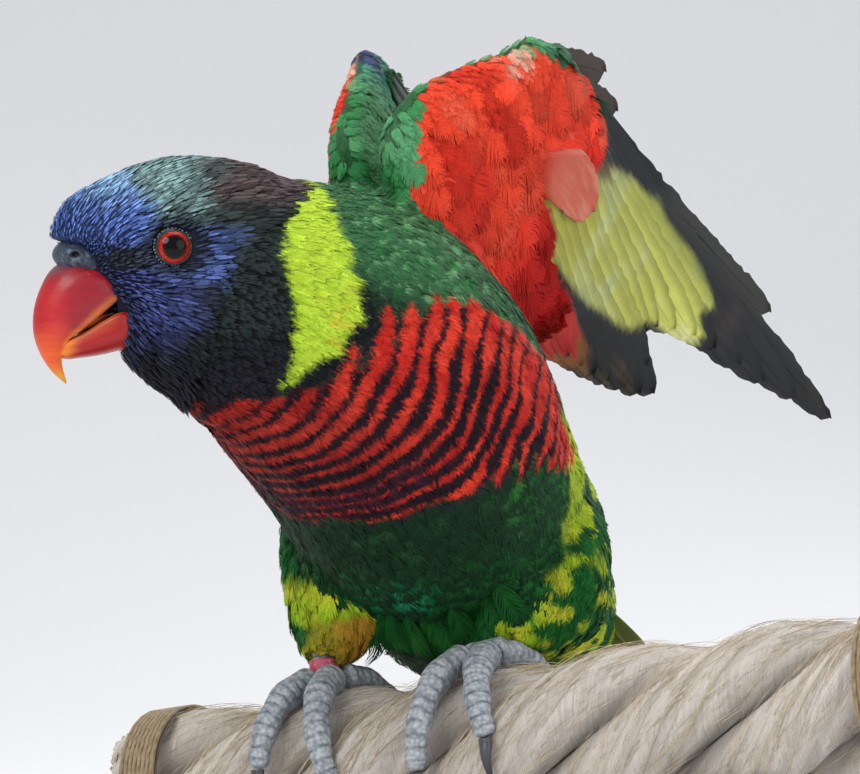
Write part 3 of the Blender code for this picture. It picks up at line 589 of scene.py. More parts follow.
def horn_finish(name, roughness, coat):
    """Polished horn with faint growth lines and small scuffs."""
    f = Finish(name)
    lines = f.noise(0.006, f.stretch(f.place(), (1.0, 1.0, 6.0)), 4.0)
    scuffs = f.noise(0.0007, detail=6.0, roughness=0.7)
    worn = scuffs.within(0.62, 0.75)
    colour = f.mix(f.tint(), f.times(f.tint(), (0.8, 0.7, 0.7)), lines.within(0.35, 0.7))
    return f.shade(
        Base_Color=f.mix(colour, (0.75, 0.6, 0.55), worn * 0.16),
        Roughness=worn * 0.2 + lines * 0.1 + roughness,
        Normal=f.bump(scuffs + lines * 0.6, 0.12, 0.00025),
        Specular_IOR_Level=0.3,
        Coat_Weight=worn * -0.15 + coat,
        Coat_Roughness=0.22,
    )


def wet_finish(name, roughness=0.02, coat=0.0):
    """The eye's glossy surface, and the moist tongue."""
    f = Finish(name)
    threads = f.noise(0.0004, detail=4.0)
    return f.shade(
        Base_Color=f.worked((0.75, 0.7, 0.7), threads.within(0.35, 0.65)),
        Roughness=threads * 0.08 + roughness,
        Specular_IOR_Level=0.16,
        Coat_Weight=threads * 0.1 + coat,
        Coat_Roughness=0.03,
    )


def bare_skin_finish(name, grain, depth, roughness=0.5):
    """Dry pebbled skin: cere, eyelids, feet."""
    f = Finish(name)
    pebbles = f.cells(grain)
    dust = f.noise(grain * 2.5, detail=5.0)
    mixed = (1 - pebbles) * 0.6 + dust * 0.4
    colour = f.worked((0.5, 0.52, 0.56), mixed.within(0.3, 0.65))
    return f.shade(
        Base_Color=f.mix(colour, (0.62, 0.66, 0.7), dust.within(0.6, 0.8) * 0.25),
        Roughness=dust * 0.2 + roughness - 0.1,
        Normal=f.bump(mixed, 0.55, depth),
        Specular_IOR_Level=0.4,
    )


def rope_finish(name):
    """Pale plant fibres, laid aslant along each strand."""
    f = Finish(name)
    x, y, _ = f.parts(f.uv("lay"))
    slant = f.node("ShaderNodeCombineXYZ", {}, {0: x * 60.0 + y * 22.0, 1: y * 2.4 - x * 0.6})
    threads = f.noise(0.34, slant, 5.0, 0.65)
    wide = f.noise(1.9, slant, 3.0)
    stain = f.noise(0.016, detail=4.0)
    shade = threads * 0.62 + wide * 0.38
    colour = f.mix(paint(150, 136, 120), paint(246, 238, 228), shade.within(0.24, 0.54))
    colour = f.mix(colour, paint(206, 192, 174), stain.within(0.4, 0.75) * 0.4)
    return f.shade(
        Base_Color=f.mix(f.times(colour, f.tint()), colour, 0.15),
        Roughness=shade * 0.1 + 0.78,
        Normal=f.bump(threads + wide * 0.7, 0.8, 0.0008),
        Sheen_Weight=0.3,
        Sheen_Roughness=0.5,
        Specular_IOR_Level=0.2,
    )


def fibre_finish(name):
    """Loose fibres and twine."""
    f = Finish(name)
    wisps = f.noise(0.0015, detail=4.0)
    return f.shade(
        Base_Color=f.worked((0.6, 0.56, 0.5), wisps.within(0.3, 0.7)),
        Roughness=wisps * 0.15 + 0.8 - 0.05,
        Normal=f.bump(wisps, 0.4, 0.0003),
        Sheen_Weight=0.3,
        Specular_IOR_Level=0.2,
    )


def wood_finish(name):
    """Dark oiled wood: rings seen along the board, pores and a satin varnish."""
    f = Finish(name)
    board = f.stretch(f.place(), (1.0, 7.0, 7.0))
    figure = f.noise(0.05, board, 6.0, 0.6)
    rings = (figure * 46.0).wave() * 0.5 + 0.5
    pores = f.noise(0.0022, f.stretch(f.place(), (1.0, 22.0, 22.0)), 4.0, 0.7)
    dark = f.mix(paint(62, 38, 24), paint(118, 76, 46), rings * 0.65 + figure * 0.35)
    colour = f.mix(dark, paint(38, 24, 16), pores.within(0.55, 0.75) * 0.7)
    return f.shade(
        Base_Color=colour,
        Roughness=pores * 0.2 + 0.3,
        Normal=f.bump(pores * -1.0 + rings * 0.2, 0.25, 0.0003),
        Coat_Weight=rings * 0.1 + 0.25,
        Coat_Roughness=0.25,
    )


def steel_finish(name):
    """Brushed steel, the brushing round the rods."""
    f = Finish(name)
    brushed = f.noise(0.0014, f.stretch(f.place(), (1.0, 1.0, 14.0)), 4.0, 0.6)
    smudge = f.noise(0.018, detail=3.0)
    colour = f.mix(paint(150, 148, 144), paint(196, 194, 190), brushed)
    return f.shade(
        Base_Color=colour,
        Metallic=1.0,
        Roughness=brushed * 0.2 + smudge * 0.12 + 0.2,
        Normal=f.bump(brushed, 0.2, 0.00012),
    )


def ring_finish(name):
    """Pinkish plastic, worn paler where it rubs."""
    f = Finish(name)
    rub = f.noise(0.0009, detail=5.0)
    colour = f.mix(paint(176, 62, 88), paint(214, 132, 146), rub.within(0.5, 0.75))
    return f.shade(Base_Color=colour, Roughness=rub * 0.25 + 0.3, Normal=f.bump(rub, 0.2, 0.0001))


def floor_finish(name, shade):
    f = Finish(name)
    grain = f.noise(0.003, detail=3.0)
    return f.shade(Base_Color=f.mix(shade * 0.985, shade, grain), Roughness=grain * 0.1 + 0.75, Specular_IOR_Level=0.15)


# ---- the bird's markings, shared by its skin and its feathers ----
NIGHT = paint(20, 22, 27)
LIME = paint(152, 184, 42)
GREEN = paint(24, 104, 42)
DEEP_GREEN = paint(14, 52, 28)
DARK_BAR = paint(30, 17, 25)
PLUM = paint(52, 22, 36)
# share of the spine at angles from the belly line
COLLAR_FRONT = (
    (34, 0.878), (40, 0.884), (56, 0.890), (64, 0.903), (77, 0.914), (90, 0.925), (106, 0.934), (151, 0.925),
)
COLLAR_BACK = (
    (34, 0.882), (49, 0.874), (63, 0.857), (75, 0.853), (86, 0.857), (98, 0.868), (131, 0.891), (151, 0.892),
)
RED_TOP = (
    (0, 0.955), (8, 0.945), (20, 0.925), (27, 0.902), (36, 0.868), (49, 0.848), (62, 0.840), (75, 0.832), (88, 0.822),
    (97, 0.804), (106, 0.772), (113, 0.73), (118, 0.63), (122, 0.48),
)
RED_LOW = (
    (0, 0.648), (15, 0.636), (30, 0.63), (45, 0.622), (56, 0.606), (71, 0.584), (82, 0.545), (89, 0.50), (96, 0.465),
    (112, 0.44),
)
FLANK_START = (
    (0.12, 26), (0.25, 31), (0.32, 45), (0.38, 71), (0.45, 92), (0.52, 104),
)
FLANK_LIMES = paint(152, 178, 36), paint(184, 184, 48)
BAR_STEP = 4.2  # millimetres of spine from one dark bar of the breast to the next


def blotches(places):
    """The green blotches of flank and thigh, longer up and down than across."""
    return cloud(places * (1.0, 1.0, 1.6), 4.2, 21) * 1.6


def bar_phase(share, angle, places):
    """Counts the rows of breast feathers towards the tail; each row ends in a dark bar."""
    sway = cloud(places, 15, 3) * 0.75 + cloud(places, 6, 4) * 0.22
    return (1.0 - share) * spine.length / BAR_STEP + sway + 0.1 + 1.7 * ease(50, 112, np.abs(angle))


def head_markings(places):
    """Colours of the head: the bright streak of each feather and the dark ground round it."""
    f, _, z = head_frame(places)
    soft = cloud(places, 4, 7) * 1.6 + cloud(places, 1.5, 6) * 0.8
    low = z + soft * 0.5
    crown = ease(3, 8, z + soft)
    teal = crown * ease(-11, 0, f + soft * 2)
    brown = crown * ease(-3, -13, f + soft * 2) * ease(6, 11, z)
    ear = ease(-9, -4, z + soft) * ease(5, 2, z) * ease(-14, -7, f + soft) * ease(3, -2, f)
    forehead = ease(1.5, 5.5, f - 0.32 * (z - 4.0) + soft) * ease(-3, 0.5, low)
    sky = ease(5, 15, z + soft)
    cheek = ease(-1, -4, z + soft) * ease(-25, -15, z) * ease(-9, 1, f + soft)
    jaw = ease(-13, -18, z + soft) * ease(4, -6, f + soft)
    chin = ease(-17, -22, z + soft)
    lore = ease(3.4, 4.6, f) * ease(13.5, 10, f + soft) * ease(-4.6, -2.4, low) * ease(1.4, -0.6, low)
    ring = ease(6.6, 4.8, np.hypot(f * 0.9, z - EYE_UP))
    root = ease(3, 1, along_edge(FACE_FRONT, z) - f) * ease(0.5, -1.5, z)
    streak = layered(
        paint(44, 54, 52), (teal, paint(134, 168, 166)), (brown, paint(92, 76, 78)), (ear, paint(84, 106, 168)),
        (forehead, blend(paint(102, 134, 216), paint(160, 204, 240), sky)),
        (cheek, blend(paint(76, 88, 150), paint(46, 54, 96), ease(-9, -18, z))),
        (jaw, paint(32, 38, 42)), (chin, paint(34, 34, 44)), (lore, paint(58, 66, 76)),
        (ring * 0.85, paint(52, 62, 82)), (root * 0.7, paint(56, 62, 92)),
    )
    ground = layered(
        paint(13, 15, 17), (teal, paint(34, 48, 54)), (brown, paint(32, 26, 30)),
        (forehead, blend(paint(36, 50, 98), paint(78, 114, 158), sky)), (cheek, paint(15, 17, 34)),
        (jaw, paint(13, 14, 16)), (chin, paint(15, 14, 17)), (lore, paint(28, 30, 36)), (ring, paint(20, 23, 28)),
        (root, paint(13, 12, 13)),
    )
    return streak, ground


def collar_share(places, share, side):
    """Where the lime collar lies; also how far each place is in front of it."""
    edge = share + cloud(places, 2.2, 5) * 0.006
    front, rear = along_edge(COLLAR_FRONT, side), along_edge(COLLAR_BACK, side)
    collar = ease(rear - 0.003, rear + 0.003, edge) * ease(front + 0.003, front - 0.003, edge) * ease(34, 40, side)
    return collar, ease(front - 0.002, front + 0.003, edge)


def trunk_markings(places):
    """Colours of neck, breast, belly, back and rump: vane, its tip, and how much of it the tip takes."""
    share, angle, _ = spine.read(places)
    side = np.abs(angle)
    soft = cloud(places, 5, 1)
    fine = cloud(places, 1.6, 2)
    both = soft + fine * 0.4

    # belly: dark in the middle below the red; lower down, teal gleams painted in as sheen
    mantle = ease(0.66, 0.78, share) * ease(80, 100, side)
    belly = ease(100, 70, side) * ease(0.66, 0.62, share)
    dark = ease(0.40, 0.54, share + soft * 0.05) * ease(80, 50, side + soft * 9) * belly
    # teal: painted sheen on the lower belly
    teal = ease(0.40, 0.44, share) * ease(0.52, 0.47, share) * ease(24, 14, np.abs(angle - 2)) * ease(-0.2, 0.4, fine)
    vent = ease(0.36, 0.30, share) * ease(70, 40, side)

    # flank: lime with green blotches, from under the wing to the thigh
    start = along_edge(FLANK_START, share)
    flank = ease(start - 10, start - 3, side + soft * 8) * ease(140, 128, side) * ease(0.54, 0.48, share)
    blotch = ease(-0.16, 0.04, blotches(places) + fine * 0.3) * ease(0.43, 0.37, share)
    lime = blend(*FLANK_LIMES, ease(-0.2, 0.7, soft))

    # breast: red, each row ending in a dark bar
    low, top = along_edge(RED_LOW, side), along_edge(RED_TOP, side)
    edge = share + soft * 0.008 + fine * 0.006
    phase = bar_phase(share, angle, places)
    tongue = np.cos(2 * np.pi * (phase - 0.25)) * ease(50, 72, side)
    high = top + 0.016 * tongue
    deep = low - 0.02 * tongue
    red = ease(deep - 0.004, deep + 0.006, edge) * ease(high + 0.005, high - 0.004, edge)
    red = red * np.maximum(ease(108, 103, side), ease(0.53, 0.56, share))
    # the lower front of the breast painted darker: painted shade where it turns away from the light
    low_front_shade = ease(0.64, 0.74, share) * ease(66, 36, side)
    bright = blend(paint(222, 62, 42), paint(166, 46, 34), low_front_shade)
    dull = blend(paint(186, 34, 26), paint(148, 32, 26), low_front_shade)
    breast = blend(dull, bright, ease(-0.6, 0.7, soft + fine * 0.5))
    heavy = 0.50 + 0.22 * cloud(places, 9, 24) - 0.3 * ease(80, 102, side) + 0.2 * ease(0.80, 0.68, share)
    heavy = heavy + 0.19 * ease(0.84, 0.76, share) * ease(60, 30, side)
    heavy = heavy - 0.10 * ease(0.86, 0.92, share) * ease(40, 20, side)
    bar = ease(1 - heavy - 0.07, 1 - heavy + 0.07, phase % 1.0) * ease(1, 0.96, phase % 1.0) * red
    plum = ease(0.645, 0.665, share) * ease(0.72, 0.69, share + fine * 0.01) * ease(66, 44, side) * red
    plum = plum * ease(-0.6, 0.2, fine + soft * 0.5) * 0.8
    margin = ease(low - 0.03, low - 0.006, share) * (1 - red) * ease(90, 64, side) * ease(low + 0.01, low, share)

    # black feathers, faintly green, between the red and the lime collar; the head's own feathers before it
    black = ease(high - 0.004, high + 0.004, edge) * ease(110, 84, side)
    collar, before = collar_share(places, share, side)
    gold = ease(along_edge(COLLAR_FRONT, side), along_edge(COLLAR_BACK, side), share) * ease(104, 70, side)
    head = before * ease(top - 0.002, top + 0.003, share)
    streak, ground = head_markings(places)

    vane = layered(
        GREEN, (ease(0.5, -0.8, soft), paint(40, 122, 52)),
        (mantle * ease(-0.5, 0.4, fine) * 0.9, paint(112, 160, 110)),
        (belly, blend(paint(22, 84, 34), paint(44, 120, 46), ease(-0.2, 0.7, both))),
        (dark, blend(paint(18, 50, 28), paint(40, 78, 44), ease(-0.1, 0.8, both))),
        (teal * 0.8, paint(26, 132, 92)), (vent, paint(60, 120, 50)), (flank, blend(lime, paint(30, 96, 44), blotch)),
        (red, breast), (bar, DARK_BAR), (plum, PLUM), (margin * 0.8, paint(30, 26, 44)), (black, paint(34, 42, 38)),
        (collar, blend(LIME, paint(186, 184, 52), gold * ease(-0.2, 0.6, fine) * 0.6)), (head, ground),
    )
    tip = layered(
        DEEP_GREEN, (mantle, paint(52, 98, 62)), (dark, paint(18, 46, 26)),
        (flank, blend(lime, paint(22, 78, 38), blotch)), (red, breast * 0.92), (bar, DARK_BAR), (plum, PLUM),
        (black, NIGHT),
        (collar, blend(paint(170, 200, 56), paint(200, 172, 54), gold * ease(0, 0.6, fine) * 0.7)),
        (head, streak * 0.8),
    )
    return vane, tip, np.select((red > 0.5, flank > 0.5, mantle > 0.5), (0.25, 0.3, 0.35), 0.25)


def thigh_markings(places, side):
    """Lime blotched with green; the inner side of the right thigh is ochre."""
    x, z = places[:, 0], places[:, 2]
    soft = cloud(places, 4, 8)
    fine = cloud(places, 1.8, 23)
    lime = blend(*FLANK_LIMES, ease(-0.2, 0.7, soft))
    if side == "right":
        wave = soft * 1.3 + fine * 0.5
        pale = ease(136.5, 134.5, z + wave) * ease(126, 127.5, z + wave) + ease(123.5, 122, z + wave)
        inner = ease(-25, -22, x + wave) * ease(129, 127, z + wave)
        ochre = blend(paint(150, 134, 36), paint(170, 122, 38), ease(-21, -16, x))
        vane = layered(paint(28, 92, 40), (np.clip(pale, 0, 1), lime), (inner, ochre))
    else:
        green = np.maximum(ease(-0.08, 0.12, blotches(places) + fine * 0.3), ease(138, 144, z + soft * 3))
        vane = blend(lime, paint(26, 92, 38), green)
    return vane, vane * np.array((0.8, 0.92, 0.8)), np.full(len(places), 0.3)


def wing_markings(places, normals, wing):
    """Orange-red cover feathers below, green above and round the front edge: vane and its tip."""
    a, b, _ = wing.read(places)
    below = ease(0.02, -0.12, normals @ wing.upper)
    soft = cloud(places, 7, 9)
    fine = cloud(places, 2, 10)
    red = layered(
        paint(232, 70, 44), (ease(2, 24, a + soft * 10), paint(216, 42, 27)),
        (ease(0, 0.6, soft) * 0.8, paint(232, 92, 64)), (ease(-0.1, -0.6, soft) * 0.7, paint(172, 22, 16)),
        (ease(6, 28, a + soft * 8) * ease(16, 27, b + soft * 4) * 0.9, paint(162, 12, 9)),
    )
    front = -2.0 - 22.0 * np.sin(np.pi * np.clip(b / 56.0, 0, 1))
    rim = ease(front + 5.2 + soft, front + 4.2 + soft, a)
    rim = np.maximum(rim, ease(0.2, -1.3, b + 0.09 * (a - 10)))
    rim = ease(0.46, 0.54, rim + fine * 0.15)
    green = blend(paint(52, 126, 70), paint(92, 158, 108), ease(-0.7, 0.9, soft + fine * 0.5))
    green = blend(green, paint(36, 88, 62), ease(2, 9, a) * ease(7, 3, b) * below * 0.8)
    if wing is WINGS["right"]:
        near_wrist = np.hypot(a, b)
        green = blend(green, paint(72, 132, 122), ease(18, 4, near_wrist) * 0.7)
        green = blend(green, paint(62, 74, 108), ease(5.5, 3.5, near_wrist))
    wrist = ease(6.5, 3.5, np.hypot(a + 4.0, b - 5.0)) * below
    pale = wrist * ease(-0.5, 0.3, fine) * 0.8
    vane = layered(green, (below * (1 - rim), red), (pale, paint(222, 176, 150)))
    return vane, blend(vane * 0.86, vane * 1.06, below)


# ---- the skin ----
TRUNK_SKIN, HEAD_SKIN = 0, 1
THIGH_SKIN = {"left": 2, "right": 3}
ARM_SKIN = {"left": 4, "right": 5}
REGION_OF = {
    "neck": 0, "breast": 0, "belly": 0, "rump": 0, "head": 1,
    "thigh_left": 2, "thigh_right": 3, "wing_left_arm": 4, "wing_right_arm": 5,
}
FLESH = tuple(REGION_OF)
SKIN_GRAIN = 0.95 * MM
GAP_CLOSING = 0.22
# share of the feathers' colours the skin keeps: partly painted shade under the coat
DOWN_SHADE = 0.55
COAT_DEPTH = np.array((1.5, 0.7, 1.5, 1.3, 0.8, 0.8))[:, None]  # by region
HIPS = {"left": (18.0, -4.0, 150.0), "right": (-15.5, -6.5, 146.0)}
ANKLES = {"left": (14.6, -25.6, 123.0), "right": (-21.4, -15.0, 118.6)}


def read_all(items, field, width, kind=float):
    """One field of all items of a mesh, a row to each."""
    values = np.empty(len(items) * width, kind)
    items.foreach_get(field, values)
    return values.reshape(-1, width)


def triangles_of(mesh, field="vertices"):
    mesh.calc_loop_triangles()
    return read_all(mesh.loop_triangles, field, 3, np.int32)


def head_form():
    """The whole head as one egg, before the bill, cere and eyes are set in it."""
    rings, around = 40, 48
    rows = through([(f, 0, 0, top, bottom, half) for f, top, bottom, half in HEAD], rings)
    turn = full_turn(around)
    f, top, bottom, half = rows[:, (0, 3, 4, 5)].T[..., None]
    z = (top + bottom) / 2 + (top - bottom) / 2 * np.sin(turn)
    places = in_head(f + 0 * z, half * np.cos(turn), z).reshape(-1, 3)
    ends = in_head(np.array((-27.4, 22.0)), 0, np.array((2.5, 2.7)))
    return np.concatenate((places, ends)), closed_faces(rings, around)


def solid_of(name):
    """Places in millimetres and faces of one of the flesh solids."""
    if name == "head":
        return head_form()
    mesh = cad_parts[name].data
    return read_all(mesh.vertices, "co", 3) / MM, [triangles_of(mesh)]


def flesh_form():
    """All the flesh solids with their thin gaps closed, as one mesh for the skin to be drawn over."""
    heap = Heap()
    for name in FLESH:
        places, faces = solid_of(name)
        if name != "head":
            corners = places[faces[0]]
            flat = np.cross(corners[:, 1] - corners[:, 0], corners[:, 2] - corners[:, 0])
            out = np.zeros_like(places)
            for corner in range(3):
                np.add.at(out, faces[0][:, corner], flat)
            places = places + unit(out) * GAP_CLOSING
        heap.add(places, faces, (0.0, 0.0, 0.0))
    return heap.mesh("flesh")


def average_over(edges, values, times, share=0.5):
    """Moves each value towards the mean of its neighbours' values."""
    count = len(values)
    degree = np.maximum(np.bincount(edges.ravel(), minlength=count), 1)[:, None]
    for _ in range(times):
        total = np.zeros_like(values)
        for k in range(values.shape[1]):
            total[:, k] = np.bincount(edges[:, 0], values[edges[:, 1], k], count)
            total[:, k] += np.bincount(edges[:, 1], values[edges[:, 0], k], count)
        values = values * (1 - share) + total / degree * share
    return values


class Skin:
    """One closed skin under the coat, with the lie of the feathers and the part of the bird at each place."""

    def __init__(self):
        self.piece = bpy.data.objects.new("skin", flesh_form())
        bpy.context.scene.collection.objects.link(self.piece)
        remesh = self.piece.modifiers.new("one_surface", "REMESH")
        remesh.mode = "VOXEL"
        remesh.voxel_size = SKIN_GRAIN
        graph = bpy.context.evaluated_depsgraph_get()
        self.mesh = mesh = bpy.data.meshes.new_from_object(self.piece.evaluated_get(graph))
        self.piece.modifiers.clear()
        self.piece.data = mesh
        places = read_all(mesh.vertices, "co", 3) / MM
        self.edges = read_all(mesh.edges, "vertices", 2, np.int32)
        self.region = self.nearest_region(places)
        places = average_over(self.edges, places, 5, 0.6)
        normals = self.normals_of(places)
        depth = average_over(self.edges, COAT_DEPTH[self.region], 12)[:, 0]
        depth = np.minimum(depth, self.thickness(places, normals) * 0.28)
        face = ease(14, 6, np.linalg.norm(places - in_head(12, 10, -4), axis=1))
        places = self.shape_face(places - normals * (depth * (1 - 0.5 * face))[:, None])
        self.places = average_over(self.edges, places, 1, 0.3)
        self.normals = self.normals_of(self.places)
        mesh.polygons.foreach_set("use_smooth", np.ones(len(mesh.polygons), bool))
        self.unwrap()
        self.tris = triangles_of(mesh)
        self.tri_maps = read_all(mesh.uv_layers["OFBake"].data, "uv", 2)[triangles_of(mesh, "loops")]
        self.tree = BVHTree.FromPolygons(self.places.tolist(), self.tris.tolist())
        self.flow = self.lie_of_feathers()

    def nearest_region(self, places):
        best = np.full(len(places), 1e9)
        region = np.zeros(len(places), int)
        for name in FLESH:
            solid, faces = solid_of(name)
            tree = BVHTree.FromPolygons(solid.tolist(), [f for group in faces for f in group.tolist()])
            near = np.all((places > solid.min(axis=0) - 3) & (places < solid.max(axis=0) + 3), axis=1)
            for i in np.nonzero(near)[0]:
                away = tree.find_nearest(places[i])[3]
                if away < best[i]:
                    best[i], region[i] = away, REGION_OF[name]
        return region

    def normals_of(self, places):
        """Moves the skin to these places and reads its normals there."""
        self.mesh.vertices.foreach_set("co", (places * MM).ravel())
        self.mesh.update()
        return read_all(self.mesh.vertices, "normal", 3)

    def thickness(self, places, normals):
        """How thick the wings' arms are behind each place; 50 elsewhere."""
        tree = BVHTree.FromPolygons(places.tolist(), triangles_of(self.mesh).tolist())
        out = np.full(len(places), 50.0)
        for i in np.nonzero(self.region >= ARM_SKIN["left"])[0]:
            found = tree.ray_cast(Vector(places[i] - normals[i] * 0.05), Vector(-normals[i]))
            if found[0] is not None:
                out[i] = found[3]
        return out

    def shape_face(self, places):
        """A shallow socket round each eye and a flatter bare patch between eye and bill."""
        f, left, z = head_frame(places)
        socket = ease(6.5, 3.4, np.hypot(f, z - EYE_UP)) * ease(8, 10, np.abs(left))
        # the face narrows to the bill and stops behind it
        here = self.region == HEAD_SKIN
        front = along_edge(FACE_FRONT, z)
        narrow = 4.9 + 1.06 * np.maximum(front - f, 0) ** 0.95
        excess = np.maximum(np.abs(left) - narrow, 0.0) * here * (f > -2)
        ahead = np.maximum(f - front - 0.8, 0.0) * here
        places = places - (socket * 0.75 * np.sign(left))[:, None] * HEAD_LEFT
        return places - (excess * np.sign(left))[:, None] * HEAD_LEFT - ahead[:, None] * LOOK

    def unwrap(self):
        """The skin laid flat in its own islands."""
        mesh = self.mesh
        mesh.uv_layers.new(name="OFBake")
        bpy.ops.object.select_all(action="DESELECT")
        bpy.context.view_layer.objects.active = self.piece
        self.piece.select_set(True)
        bpy.ops.object.mode_set(mode="EDIT")
        bpy.ops.mesh.select_all(action="SELECT")
        bpy.ops.uv.smart_project(angle_limit=math.radians(70), island_margin=0.004)
        bpy.ops.object.mode_set(mode="OBJECT")

    def lie_of_feathers(self):
        """From the bill over the head, down the trunk to the tail, down the thighs, back along the wings."""
        bill = in_head(15, 0, -5)
        near = ease(46, 24, np.linalg.norm(self.places - bill, axis=1))
        near = np.maximum(near, (self.region == HEAD_SKIN) * 1.0)
        near = np.where(self.region <= HEAD_SKIN, near, 0.0)
        flow = blend(-spine.read(self.places)[2], unit(self.places - bill), near)
        for side, number in THIGH_SKIN.items():
            hip = np.array(HIPS[side])
            way = unit(np.array(ANKLES[side]) - hip)
            here = self.region == number
            flow[here] = blend(flow, way, ease(4, 16, (self.places - hip) @ way))[here]
        for side, number in ARM_SKIN.items():
            flow[self.region == number] = WINGS[side].along + WINGS[side].across * 0.15
        flow = average_over(self.edges, flow, 14)
        return unit(flow - self.normals * np.sum(flow * self.normals, axis=1)[:, None])

    def scatter(self, keep, spacing, seed):
        """Even but irregular places on the skin where keep, a share at each of its places, allows."""
        own = np.random.default_rng(seed)
        a, b, c = (self.places[self.tris[:, k]] for k in range(3))
        area = np.linalg.norm(np.cross(b - a, c - a), axis=1) / 2
        weight = area * np.mean(keep[self.tris], axis=1)
        total = weight.sum()
        if total <= 0:
            return None
        number = int(total / spacing**2 * 5)
        pick = own.choice(len(self.tris), number, p=weight / total)
        u, v = own.random(number), own.random(number)
        over = u + v > 1
        u[over], v[over] = 1 - u[over], 1 - v[over]
        share = np.stack((1 - u - v, u, v), axis=1)
        roots = np.einsum("nk,nkc->nc", share, self.places[self.tris[pick]])
        cell = np.floor(roots / spacing + own.random(3)).astype(np.int64)
        key = cell[:, 0] * 73856093 ^ cell[:, 1] * 19349663 ^ cell[:, 2] * 83492791
        _, first = np.unique(key, return_index=True)
        first.sort()
        return self.seat(roots[first], pick[first], share[first])

    def seat(self, roots, tri, share):
        """Everything known about places on the skin."""
        corners = self.tris[tri]
        mean = lambda values: np.einsum("nk,nkc->nc", share, values)
        return {
            "root": roots,
            "normal": unit(mean(self.normals[corners])),
            "flow": unit(mean(self.flow[corners])),
            "map": mean(self.tri_maps[tri]),
            "region": self.region[corners[:, 0]],
        }

    def seat_nearest(self, wanted):
        """The places on the skin nearest to the wanted ones."""
        roots = np.empty_like(wanted)
        tri = np.empty(len(wanted), int)
        for i, place in enumerate(wanted):
            found = self.tree.find_nearest(place)
            roots[i] = found[0]
            tri[i] = found[2]
        a, b, c = (self.places[self.tris[tri][:, k]] for k in range(3))
        ab, ac, ap = b - a, c - a, roots - a
        d00, d01, d11 = (np.sum(x * y, axis=1) for x, y in ((ab, ab), (ab, ac), (ac, ac)))
        d20, d21 = np.sum(ap * ab, axis=1), np.sum(ap * ac, axis=1)
        below = np.maximum(d00 * d11 - d01 * d01, 1e-12)
        v = (d11 * d20 - d01 * d21) / below
        w = (d00 * d21 - d01 * d20) / below
        return self.seat(roots, tri, np.stack((1 - v - w, v, w), axis=1))


# ---- the coat ----
MAP_WIDTH, MAP_LENGTH = 0.0014, 0.0028  # of one feather on the skin's map


def centre_lines(seat, length, stations, cling):
    """Walks each feather's middle line over the skin, drawn back to it at every station by cling."""
    place, way, normal = (seat[key].copy() for key in ("root", "flow", "normal"))
    lines, ups = [place.copy()], [normal.copy()]
    step = (length / stations)[:, None]
    for _ in range(stations):
        place = place + way * step
        for i in range(len(place)):
            found = skin.tree.find_nearest(place[i])
            corner = skin.tris[found[2]][0]
            place[i] += (np.array(found[0]) - place[i]) * cling
            way[i] += skin.flow[corner] * 0.5
            normal[i] += skin.normals[corner] * cling
        normal = unit(normal)
        way = unit(way - normal * np.sum(way * normal, axis=1)[:, None])
        lines.append(place.copy())
        ups.append(normal.copy())
    return np.stack(lines, axis=1), np.stack(ups, axis=1)


def along_lines(line, ups, y, stations):
    """Middle, up, ahead and aside of the middle lines at shares y of their length."""
    at = np.clip(y * stations, 0, stations - 1e-6)
    low = at.astype(int)
    mixed = (at - low)[..., None]
    row = np.arange(len(line)).reshape(-1, *[1] * (y.ndim - 1))
    middle = line[row, low] * (1 - mixed) + line[row, low + 1] * mixed
    up = unit(ups[row, low] * (1 - mixed) + ups[row, low + 1] * mixed)
    ahead = unit(line[row, low + 1] - line[row, low])
    return middle, up, ahead, unit(np.cross(up, ahead))


